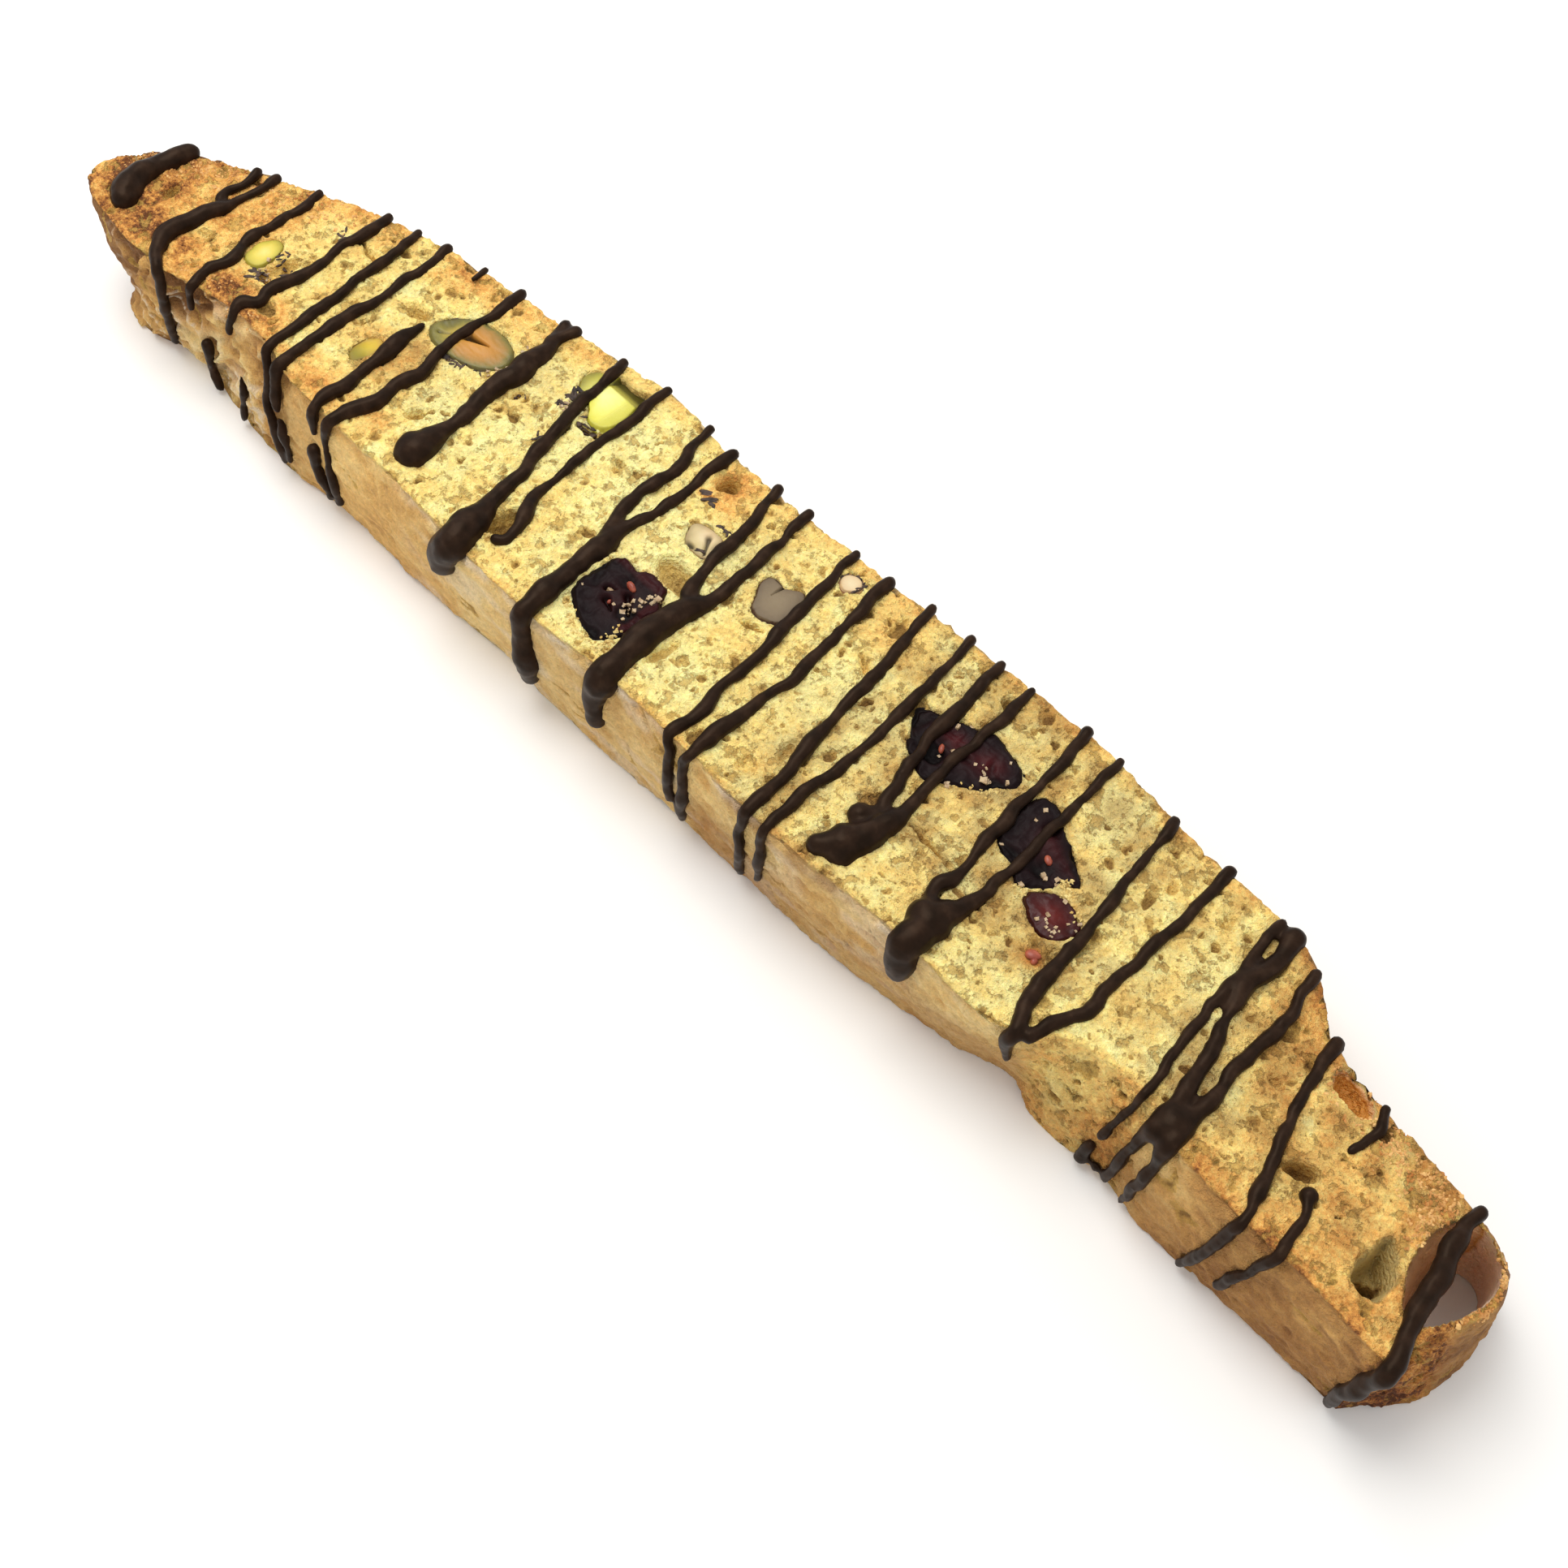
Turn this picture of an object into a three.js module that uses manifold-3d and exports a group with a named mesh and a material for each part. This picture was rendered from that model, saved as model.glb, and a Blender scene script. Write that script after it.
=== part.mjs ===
// A biscotto: one long slice, cut at a slant from a twice-baked loaf, lying on its lower cut face.
// It is studded with pistachios, dried cranberries and pecans, and dark chocolate is drizzled across it.
//
// Places on the slice are given in millimetres from its pointed toe and from its base crust:
//   x runs along the slice, from the toe to the hollow heel,
//   y runs across it, from the loaf's flat base crust (front) to its domed crust (back),
//   depth runs down from the upper cut face.
// The finished group is moved so that the middle of its underside is the origin, with +Z up.

import * as THREE from "three";
import { mergeVertices } from "three/addons/utils/BufferGeometryUtils.js";
import Module from "manifold-3d";

// ---------------------------------------------------------------- driving dimensions, millimetres

const LENGTH = 190; // toe to heel along the upper face
const THICK = 14; // between the two cut faces
const EDGE = [0.5, 0.2]; // how far the upper and lower cut faces stop short of the crust, at their worn edges
// The cut crumb rises and falls in broad swells and in smaller ones: their spans along x and y, and height.
const SWELLS = [
  { span: [7, 6], height: 0.13 },
  { span: [3, 3], height: 0.09 },
];
const WRINKLE = { span: [7, 3.5], height: 0.45 }; // the crust's wrinkles: spans along the crust and down it
const FRONT_BULGE = 0.7; // how far the front wall swells out at half its height
const BACK_BULGE = 0.35;
const TOE_SLIDE = [8, 20]; // the toe's slanted cut shifts the front wall's lines up to here
const TOE_ROUND = 0.7; // how far the toe's corners fall back
const VALLEY = { x: 163, half: 2.6, depth: 1.1, from: 12, to: 24 }; // across the face, from one y to another
const GAP = 0.3; // between a nut or berry and the crumb or chocolate round it
const PROUD = 0.1; // how far a cut nut or berry stands above the upper face
const ABOVE = 1.5; // how far above the upper face a hollow is cut from
const MIDDLE = { x: 95.3, y: 14.2 }; // the middle of the slice, which becomes the origin

// The crust lines, as [x, y]: where the walls meet the upper face, and where the front wall stands.
const FRONT_TOP = [
  [-0.8, 2.6], [0, 1.7], [4, -0.1], [16, -1.2], [22, 0.4], [28, 1.5], [33, 1.3], [40, -0.3], [56, -0.3],
  [74, -1.1], [81, -1], [89, 0], [115, -0.4], [129, 0.7], [140, 0.5], [144, 1.4], [149, 5.2],
  [156, 5.8], [161, 4.1], [168, 3.3], [178, 3.2], [187, 2.2],
];
const FRONT_FOOT = [
  [4.7, 1.3], [6.9, -0.9], [12, -1.5], [17, 0.2], [22, 0.1], [29, -1.2], [38, -1.8], [46, -1],
  [64, -1], [76, 0], [81, -0.7], [90, -0.4], [113, 0.4], [124, 0.6], [138, 2.5], [144, 4.4],
  [149, 2.4], [157, 2.9], [163, 2], [184, 2.1],
];
const BACK_TOP = [
  [-0.8, 3.6], [0, 5.2], [2, 9.2], [6, 13.1], [15, 17.6], [26, 22.4], [36, 25.3], [50, 27.2], [68, 29.7],
  [80, 29], [100, 29.6], [127, 31.1], [146, 29.5], [154, 29.3], [159, 27.9], [164, 23.8],
  [169, 21.9], [178, 20.6], [185, 19.2], [190, 16.8],
];
// The heel, as [share of the width from the front, x].
const HEEL_TOP = [[0, 186.9], [0.35, 188], [0.52, 189.2], [0.8, 190.3], [1, 189]];
const HEEL_FOOT = [[0, 186.2], [0.12, 188], [0.25, 190], [0.42, 191.2], [0.8, 191.3], [1, 189.2]];
// The toe, as [share of the thickness, x]: the loaf was cut at a slant.
const TOE_LEAN = [[0, -0.8], [0.42, 2.8], [0.8, 7], [1, 4.9]];
const HEEL_SPREAD = { from: 172, by: 3.2 }; // the back wall spreads at the foot, from this x to the heel

// Nuts and berries that the knife cut through, flush with the upper face.
// turn is the angle of the long axis from +x, in degrees; lobes roughens the outline.
const INCLUSIONS = [
  { name: "pistachio_1", at: [22.8, 9.5], size: [4.9, 2.9], depth: 2.4, turn: 82, lobes: 0.03 },
  { name: "pistachio_2", at: [40.9, 9.3], size: [4.4, 2.7], depth: 2.2, turn: 75, lobes: 0.06 },
  { name: "pistachio_3", at: [48.4, 18.2], size: [11.8, 7.1], depth: 4.2, turn: 16, lobes: 0.03 },
  { name: "pistachio_4", at: [63.9, 23.8], size: [8.8, 6.1], depth: 3.6, turn: -4, lobes: 0.05 },
  { name: "cranberry_1", at: [84.6, 6.5], size: [10.9, 8.8], depth: 4.2, turn: 100, lobes: 0.08 },
  { name: "cranberry_2", at: [120.2, 19.9], size: [12.8, 8], depth: 4.4, turn: 12, lobes: 0.08 },
  { name: "cranberry_3", at: [132.9, 18], size: [10.2, 7], depth: 4, turn: -30, lobes: 0.07 },
  { name: "cranberry_4", at: [138.3, 13.2], size: [5.7, 4.7], depth: 3, turn: 10, lobes: 0.08 },
  { name: "pecan_1", at: [84.7, 19.6], size: [4.8, 3.8], depth: 2.6, turn: 20, lobes: 0.12 },
  { name: "pecan_2", at: [94.6, 19.2], size: [6.2, 5.6], depth: 3.2, turn: 60, lobes: 0.14 },
  { name: "pecan_3", at: [98.8, 26.4], size: [2.7, 2.4], depth: 1.8, turn: 30, lobes: 0.1 },
];
const LOOKS = {
  pistachio: { color: 0xa8ad45, roughness: 0.5 },
  cranberry: { color: 0x471820, roughness: 0.35 },
  pecan: { color: 0x9b8468, roughness: 0.6 },
  biscuit: { color: 0xe3c77c, roughness: 0.85 },
};

// Bubbles and tears in the crumb, open on the upper face.
const PITS = [
  { at: [169.2, 20.2], size: [5.4, 2.6], depth: 2.8, turn: -18 },
  { at: [81, 25.6], size: [2.7, 2.4], depth: 2.2, turn: 40 },
  { at: [69.7, 5.2], size: [4.1, 2.9], depth: 2, turn: 70 },
  { at: [40.6, 16.4], size: [2.6, 1.7], depth: 1.6, turn: 10 },
  { at: [52.1, 6.6], size: [1.8, 1.4], depth: 1.2, turn: 70 },
  { at: [86.6, 13.2], size: [5, 2.8], depth: 1.8, turn: -12 },
  { at: [170.6, 10.9], size: [3, 1.9], depth: 2.6, turn: 25 },
  { at: [125, 10.4], size: [5.4, 0.9], depth: 1.8, turn: -8 },
  { at: [95.8, 15.2], size: [2.6, 1.2], depth: 1.6, turn: 25 },
  { at: [119.7, 27.6], size: [1.8, 1.3], depth: 1.5, turn: 0 },
];
// A pointed tear with smooth walls, as its rim [x, y], closing in to this share of it at the bottom.
const TEAR = {
  rim: [
    [179.6, 12.4], [179.2, 9.4], [179.1, 7.8], [179.6, 6.3], [181.1, 5.9], [182.4, 6.4], [182.7, 9], [181.2, 11],
  ],
  depth: 5,
  floor: 0.45,
  brim: 0.6, // depth down to which its walls stand upright
  flare: 1.1, // how much wider it is cut above the face
};
// The bubble that runs right through the heel: an egg-shaped hole that slants back as it goes down.
const BUBBLE = {
  top: { at: [185.5, 12.7], half: [3.4, 5.8] },
  foot: { at: [187, 15.9], half: [2.5, 4.8] },
  egg: 0.3, // how much wider it is towards the back than towards the front
};

// Chocolate strands. run goes across the upper face from back to front, width is at its two ends.
// drop is how far the strand then runs down the front wall, to foot, and hang its width there.
const STRANDS = [
  { run: [[5.5, 11.4], [4.9, 8.2], [4.8, 5.6], [6, 3.2]], width: [2.8, 3.6] },
  { run: [[12.4, 16.2], [13.1, 13.6], [13.9, 10.5]], width: [1.2, 1.6] },
  { run: [[14.9, 17.4], [14.7, 12.5], [14, 8.5], [13.9, 3], [15.2, 0.6], [17.4, -0.9]], width: [1.3, 2],
    drop: 12.6, foot: 16.4, hang: 1.3 },
  { run: [[20, 19.4], [20.5, 12], [21.3, 6], [21.7, 1]], width: [1.3, 1.2], drop: 3.2, foot: 21.5, hang: 1 },
  { run: [[27.8, 22.9], [28.4, 16], [28.2, 7], [27.2, 1.9]], width: [1.3, 1.3], drop: 2.8, foot: 27.7, hang: 1 },
  { run: [[31.7, 24], [33.2, 16.5], [33.6, 9.8], [34.4, 1.6]], width: [1.3, 1.3],
    drop: 12.8, foot: 38.8, hang: 1 },
  { run: [[35.8, 25], [36.6, 16.3], [36.8, 8], [37.4, 1]], width: [1.2, 1.3], drop: 4.6, foot: 38.5, hang: 1 },
  { run: [[41.2, 26], [41.5, 24.2]], width: [1, 0.9] },
  { run: [[43, 15.3], [43.2, 10], [43.7, 5], [44.3, 0.1]], width: [1.4, 1.8], drop: 3.4, foot: 44.8, hang: 1.2 },
  { run: [[46.5, 26.6], [46.8, 18.8], [47.8, 10], [46.8, 0]], width: [1.4, 1.6],
    drop: 12.4, foot: 47.9, hang: 1 },
  { run: [[54.2, 27.4], [55, 20], [55.8, 10], [55.9, 4.4]], width: [2.1, 2.8] },
  { run: [[61.2, 28.5], [62.5, 21.4], [64.5, 13.3], [66.3, 6], [67.8, -0.4]], width: [1.5, 3.4],
    drop: 5, foot: 66.4, hang: 3.4 },
  { run: [[67.5, 29.4], [67.7, 22], [68.4, 13], [69.6, 7.6], [71.3, 4.3], [70.5, 2.7]], width: [1.5, 1.5] },
  { run: [[74.4, 29], [75.8, 22], [76.6, 16.1], [77.8, 12.2]], width: [1.4, 1.8] },
  { run: [[78.5, 28.8], [78.6, 20], [78.2, 12], [78.4, 6], [78.9, -0.6]], width: [1.3, 3.2],
    drop: 9.4, foot: 80.3, hang: 2.7 },
  { run: [[85, 29], [86.2, 22.9], [87.2, 17], [88.6, 11.4]], width: [1.3, 1.8] },
  { run: [[89.4, 29.1], [90.3, 21], [90.6, 14], [89.2, 9], [89.2, 4], [90, 0.2]], width: [1.3, 3.7],
    drop: 8.4, foot: 89.9, hang: 3 },
  { run: [[96.4, 29], [98.2, 15.2], [100.1, 0.6]], width: [1.4, 1.6], drop: 9.6, foot: 101, hang: 1.2 },
  { run: [[101.2, 29.1], [102.4, 17.8], [102.8, 0.8]], width: [1.2, 1.6], drop: 12.2, foot: 102.3, hang: 1.2 },
  { run: [[106.4, 30], [108.4, 19], [109.8, 10.7], [111.3, -0.1]], width: [1.4, 1.6],
    drop: 12.2, foot: 111, hang: 1.1 },
  { run: [[111.9, 30.1], [113, 20], [113.6, 0.1]], width: [1.2, 1.4], drop: 9.6, foot: 113.5, hang: 1.1 },
  { run: [[115.8, 30.2], [117, 21.1], [118.5, 14.5], [119.1, 8.6]], width: [1.4, 2] },
  { run: [[120.1, 30.2], [120.4, 20], [121.3, 12], [120.9, 7], [119.8, 3.8], [118.6, 2.4]], width: [1.3, 2.8] },
  { run: [[127.2, 30.7], [128.9, 21], [129.1, 14], [130, 6.5], [131, 3]], width: [1.4, 2.4] },
  { run: [[131.7, 30.5], [131.8, 20], [132.4, 11], [131.5, 4], [131.8, 0.8]], width: [1.2, 3.2],
    drop: 3.4, foot: 131.3, hang: 3.6 },
  { run: [[139.6, 29.6], [141.5, 17], [142.6, 8.5], [144, 1.8]], width: [1.4, 1.8],
    drop: 5.6, foot: 144.4, hang: 1.3 },
  { run: [[146.8, 29.1], [146.9, 16], [147.1, 8.5], [146.2, 4.4], [145.6, 2.6]], width: [1.3, 1.8] },
  { run: [[153.7, 28.8], [155.1, 20], [155.5, 12], [156.2, 5.8]], width: [1.5, 1.2],
    drop: 7.4, foot: 155.4, hang: 1.2 },
  { run: [[155.7, 28.2], [155.6, 21], [157.4, 14.2], [158.6, 8.6], [159.2, 5.6]], width: [2.2, 2.6],
    drop: 12.6, foot: 157.4, hang: 1.4 },
  { run: [[159.3, 26.9], [160.3, 18], [160.9, 11], [160.7, 7], [161, 5]], width: [1.4, 2.2],
    drop: 12.8, foot: 159.9, hang: 1.3 },
  { run: [[165, 23], [165.8, 16.5], [168, 11], [170.3, 3.6]], width: [1.4, 1.3],
    drop: 13, foot: 167.8, hang: 1.3 },
  { run: [[172.2, 21.2], [172.9, 18], [172.3, 15.3]], width: [1.2, 1.1] },
  { run: [[172.4, 9.3], [173.4, 8], [174, 3.6]], width: [1.5, 1.3], drop: 10.2, foot: 171.3, hang: 1.2 },
  { run: [[184, 19.4], [184.4, 14.5], [185.8, 9], [187, 2.6]], width: [2, 2.4], drop: 12.2, foot: 185, hang: 2 },
];
// Short lengths left on the front wall, where a strand broke off: x and depth at both ends.
const WALL_BITS = [
  { from: [23.9, 7.2], to: [24.6, 13.2], width: 1.1 },
  { from: [30.8, 6.6], to: [30.4, 12.8], width: 0.9 },
  { from: [39.2, 5.8], to: [39.8, 11.2], width: 1.1 },
  { from: [45, 5.6], to: [46.1, 12.2], width: 1.3 },
  { from: [154.6, 10.2], to: [154.4, 13], width: 1.6 },
];
// Drops, where the chocolate pooled: place, sizes along x and y, and height.
const DROPS = [
  { at: [55.8, 3.8], size: [4.3, 4.4], height: 1.9 },
  { at: [118.6, 7.6], size: [2.7, 2.9], height: 1.4 },
  { at: [119.9, 3.9], size: [4.4, 4.6], height: 1.7 },
  { at: [130.9, 4.4], size: [4.6, 3.6], height: 1.9 },
  { at: [159.9, 5.9], size: [4.2, 4.6], height: 1.6 },
  { at: [172.5, 9.6], size: [1.9, 1.9], height: 1.1 },
];
const ROUND_TOP = [[1, 0.15], [0.72, 0.75], [0, 1], [-0.72, 0.75], [-1, 0.15]]; // shares of half width and rise
const STRAND_RISE = [0.35, 0.42]; // a strand stands this much, and this share of its width, above the crumb
const STRAND_SUNK = 0.45; // how far it is sunk into the crumb
const NOSE = 0.5; // the share of its width by which a strand's end stands out
const STRAND_SWAY = 0.28; // how far it wanders from its run
const STRAND_SWELL = 0.12; // how much wider or narrower it gets on its way, as a share of its width
const STRAND_STEP = 7; // between two of its sections on the upper face, about
const WALL_STEP = 4.4; // between two of its sections on the front wall, about
const BACK_SHORT = 0.3; // how far short of the back crust a strand's middle ends
const BACK_REACH = 1.2; // a strand that starts as near as this to the back crust laps over its edge
const TURN_CLEAR = { back: 1.4, front: 1.2 }; // no section lies nearer than this to the edge it turns over
const FIRST_FALL = 0.9; // depth of the first section on the front wall

// ---------------------------------------------------------------- curves and noise

const { clamp, lerp, smoothstep } = THREE.MathUtils;

// A smooth curve through points [a, b] with a rising: gives b at any a.
function through(points) {
  const slope = (i) => {
    const [a0, b0] = points[Math.max(i - 1, 0)];
    const [a1, b1] = points[Math.min(i + 1, points.length - 1)];
    return (b1 - b0) / (a1 - a0);
  };
  return (a) => {
    const last = points.length - 1;
    if (a <= points[0][0]) return points[0][1];
    if (a >= points[last][0]) return points[last][1];
    const i = points.findIndex((p) => p[0] > a) - 1;
    const [a0, b0] = points[i];
    const [a1, b1] = points[i + 1];
    const h = a1 - a0;
    const t = (a - a0) / h;
    const bend = t * (1 - t) * h * (slope(i) * (1 - t) - slope(i + 1) * t);
    const plain = lerp(b0, b1, t * t * (3 - 2 * t));
    return plain + bend;
  };
}

// A number from 0 to 1 that depends on the three whole numbers only.
function scatter(i, j, seed) {
  const s = Math.sin(i * 127.1 + j * 311.7 + seed * 74.7) * 43758.5453;
  return s - Math.floor(s);
}

// Smooth noise from -1 to 1 over the plane, with bumps about one unit across.
function noise(a, b, seed) {
  const i = Math.floor(a);
  const j = Math.floor(b);
  const u = smoothstep(a - i, 0, 1);
  const v = smoothstep(b - j, 0, 1);
  const near = lerp(scatter(i, j, seed), scatter(i + 1, j, seed), u);
  const far = lerp(scatter(i, j + 1, seed), scatter(i + 1, j + 1, seed), u);
  return 2 * lerp(near, far, v) - 1;
}

// ---------------------------------------------------------------- the slice's surfaces

const frontTop = through(FRONT_TOP);
const frontFoot = through(FRONT_FOOT);
const backTop = through(BACK_TOP);
const heelTop = through(HEEL_TOP);
const heelFoot = through(HEEL_FOOT);
const toeLean = through(TOE_LEAN);

const share = (depth) => clamp(depth / THICK, 0, 1);
const halfway = (depth) => Math.sin(Math.PI * share(depth)); // 1 at half the height, 0 at both cut faces
const wrinkle = (x, depth, seed) => {
  return WRINKLE.height * noise(x / WRINKLE.span[0], depth / WRINKLE.span[1], seed) * halfway(depth);
};

// Near the toe the crust lines slide back with the slanted cut.
function frontY(x, depth) {
  const slide = 1 - smoothstep(x, ...TOE_SLIDE);
  const top = frontTop(x - slide * toeLean(share(depth)));
  const foot = frontFoot(x + slide * (toeLean(1) - toeLean(share(depth))));
  const bulge = FRONT_BULGE * halfway(depth) ** 2 * (1 - slide);
  return lerp(top, foot, share(depth)) - bulge + wrinkle(x, depth, 3);
}

// The lean at the toe dies out towards the heel.
function backY(x, depth) {
  const lean = toeLean(share(depth)) * lerp(1, 0.3, x / LENGTH);
  const spread = HEEL_SPREAD.by * smoothstep(x, HEEL_SPREAD.from, LENGTH) * share(depth);
  return backTop(x - lean) + spread + BACK_BULGE * halfway(depth) + wrinkle(x, depth, 5);
}

// The height of the upper face: a gently rough cut, with a hollow across it where the back is notched.
function faceZ(x, y) {
  const rough = SWELLS.reduce((sum, { span, height }, n) => {
    return sum + height * noise(x / span[0], y / span[1], n + 1);
  }, 0);
  const across = Math.exp(-(((x - VALLEY.x) / VALLEY.half) ** 2));
  return THICK + rough - VALLEY.depth * across * smoothstep(y, VALLEY.from, VALLEY.to);
}

// ---------------------------------------------------------------- closed meshes

function geometryOf(points, faces) {
  const geometry = new THREE.BufferGeometry();
  geometry.setAttribute("position", new THREE.Float32BufferAttribute(points.flatMap((p) => p.toArray()), 3));
  geometry.setIndex(faces.flat());
  return geometry;
}

// A closed skin over rings of points, each with the same count, with a fan over both ends.
// The fans meet at the rings' own middles, or at the two points given.
function loft(rings, ends) {
  const count = rings[0].length;
  const points = rings.flat();
  const faces = [];
  for (let r = 0; r + 1 < rings.length; r++) {
    for (let i = 0; i < count; i++) {
      const a = r * count + i;
      const b = r * count + ((i + 1) % count);
      faces.push([a, b, b + count], [a, b + count, a + count]);
    }
  }
  const last = (rings.length - 1) * count;
  const middle = (ring) => ring.reduce((sum, p) => sum.add(p), new THREE.Vector3()).divideScalar(count);
  points.push(...(ends ?? [middle(rings[0]), middle(rings[rings.length - 1])]));
  for (let i = 0; i < count; i++) {
    const j = (i + 1) % count;
    faces.push([points.length - 2, j, i], [points.length - 1, last + i, last + j]);
  }
  const volume = faces.reduce((sum, [a, b, c]) => {
    return sum + points[a].dot(points[b].clone().cross(points[c]));
  }, 0);
  if (volume < 0) faces.forEach((face) => face.reverse());
  return geometryOf(points, faces);
}

const wasm = await Module();
wasm.setup();

// A closed geometry as a manifold-3d solid, for cutting and joining.
function solid(geometry) {
  const bare = geometry.clone();
  bare.deleteAttribute("normal");
  bare.deleteAttribute("uv");
  const merged = mergeVertices(bare, 1e-4);
  const mesh = new wasm.Mesh({
    numProp: 3,
    vertProperties: new Float32Array(merged.attributes.position.array),
    triVerts: new Uint32Array(merged.index.array),
  });
  return new wasm.Manifold(mesh);
}

function backToGeometry(body) {
  const { vertProperties, triVerts } = body.getMesh();
  const geometry = new THREE.BufferGeometry();
  geometry.setAttribute("position", new THREE.BufferAttribute(vertProperties.slice(), 3));
  geometry.setIndex(new THREE.BufferAttribute(triVerts.slice(), 1));
  return geometry;
}

// ---------------------------------------------------------------- the plain slice

const ALONG = 44; // stations along the slice
const ACROSS = 4; // strips across it
const LEVELS = [0, 0.06, 0.42, 0.8, 1]; // shares of the thickness, from the upper face down

// The point at share s of the length, share t of the width and a share of the depth.
function slicePoint(s, t, level) {
  const depth = level * THICK;
  const worn = { 0: EDGE[0], 1: EDGE[1] }[level] ?? 0;
  const round = TOE_ROUND * (2 * t - 1) ** 2;
  const toe = toeLean(level) + round + worn / 3;
  const heel = lerp(heelTop(t), heelFoot(t), level) - worn;
  const x = lerp(toe, heel, s);
  const y = lerp(frontY(x, depth) + worn, backY(x, depth) - worn, t);
  const z = level === 0 ? faceZ(x, y) : THICK - depth;
  return new THREE.Vector3(x, y, z);
}

function sliceGeometry() {
  const points = [];
  const known = new Map();
  const corner = (i, j, k) => {
    const key = `${i} ${j} ${k}`;
    if (!known.has(key)) {
      known.set(key, points.length);
      points.push(slicePoint(i / ALONG, j / ACROSS, LEVELS[k]));
    }
    return known.get(key);
  };
  const faces = [];
  const quad = (a, b, c, d) => faces.push([a, b, c], [a, c, d]);
  const foot = LEVELS.length - 1;
  for (let i = 0; i < ALONG; i++) {
    for (let j = 0; j < ACROSS; j++) {
      quad(corner(i, j, 0), corner(i + 1, j, 0), corner(i + 1, j + 1, 0), corner(i, j + 1, 0));
      quad(corner(i, j + 1, foot), corner(i + 1, j + 1, foot), corner(i + 1, j, foot), corner(i, j, foot));
    }
  }
  const rim = [];
  for (let i = 0; i < ALONG; i++) rim.push([i, 0]);
  for (let j = 0; j < ACROSS; j++) rim.push([ALONG, j]);
  for (let i = ALONG; i > 0; i--) rim.push([i, ACROSS]);
  for (let j = ACROSS; j > 0; j--) rim.push([0, j]);
  for (let k = 0; k < foot; k++) {
    rim.forEach((here, n) => {
      const next = rim[(n + 1) % rim.length];
      quad(corner(...here, k), corner(...here, k + 1), corner(...next, k + 1), corner(...next, k));
    });
  }
  return geometryOf(points, faces);
}

// ---------------------------------------------------------------- nuts, berries and bubbles

// A rounded lump whose flat top lies rise above the upper face. grow widens it all round.
function lump({ at, size, depth, turn, lobes = 0.05 }, rise, grow, sides) {
  const [x, y] = at;
  const face = faceZ(x, y);
  const seed = Math.round(x * 10);
  const angle = THREE.MathUtils.degToRad(turn);
  const profile = [[0.92, rise], [1, -0.3], [0.88, -0.5 * depth], [0.4, -depth - grow]];
  const rings = profile.map(([share, height]) => {
    return Array.from({ length: sides }, (_, n) => {
      const a = (2 * Math.PI * n) / sides;
      const bump = 1 + lobes * (Math.cos(3 * a + seed) + 0.6 * Math.cos(5 * a + 2 * seed));
      const u = (size[0] / 2 * bump + grow) * share * Math.cos(a);
      const v = (size[1] / 2 * bump + grow) * share * Math.sin(a);
      const px = x + u * Math.cos(angle) - v * Math.sin(angle);
      const py = y + u * Math.sin(angle) + v * Math.cos(angle);
      return new THREE.Vector3(px, py, face + height);
    });
  });
  return loft(rings);
}

const inclusionSides = ({ size }) => (size[0] > 6 ? 14 : 10);
const inclusion = (spec) => lump(spec, PROUD, 0, inclusionSides(spec));
const pocket = (spec) => lump(spec, ABOVE, GAP, inclusionSides(spec));
const pit = (spec) => lump(spec, ABOVE, 0, 7);

function tear() {
  const centre = new THREE.Vector2();
  TEAR.rim.forEach((p) => centre.add(new THREE.Vector2(...p)));
  centre.divideScalar(TEAR.rim.length);
  const ring = (scale, z) => TEAR.rim.map(([x, y]) => {
    return new THREE.Vector3(lerp(centre.x, x, scale), lerp(centre.y, y, scale), z);
  });
  return loft([ring(TEAR.flare, THICK + ABOVE), ring(1, THICK - TEAR.brim), ring(TEAR.floor, THICK - TEAR.depth)]);
}

function heelBubble() {
  const levels = [-0.1, 0.1, 0.4, 0.75, 1.1]; // shares of the thickness, reaching past both faces
  const sides = 14;
  const { top, foot, egg } = BUBBLE;
  return loft(levels.map((level) => {
    const between = (a, b) => lerp(a, b, clamp(level, 0, 1));
    return Array.from({ length: sides }, (_, n) => {
      const a = (2 * Math.PI * n) / sides;
      const wide = between(top.half[0], foot.half[0]) * (1 + egg * Math.sin(a));
      const long = between(top.half[1], foot.half[1]);
      const x = between(top.at[0], foot.at[0]) + wide * Math.cos(a);
      const y = between(top.at[1], foot.at[1]) + long * Math.sin(a);
      return new THREE.Vector3(x, y, THICK * (1 - level));
    });
  }));
}

// ---------------------------------------------------------------- chocolate

const UP = new THREE.Vector3(0, 0, 1);
const FRONT = new THREE.Vector3(0, -1, 0);
const BACK = new THREE.Vector3(0, 1, 0);

const onFace = (x, y) => ({ at: new THREE.Vector3(x, y, faceZ(x, y)), out: UP });
const onFront = (x, depth) => ({ at: new THREE.Vector3(x, frontY(x, depth) - 0.1, THICK - depth), out: FRONT });
const overEdge = (x, y, out) => ({
  at: new THREE.Vector3(x, y, THICK - 0.15),
  out: UP.clone().addScaledVector(out, out === FRONT ? 1 : 0.35).normalize(),
});

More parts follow.
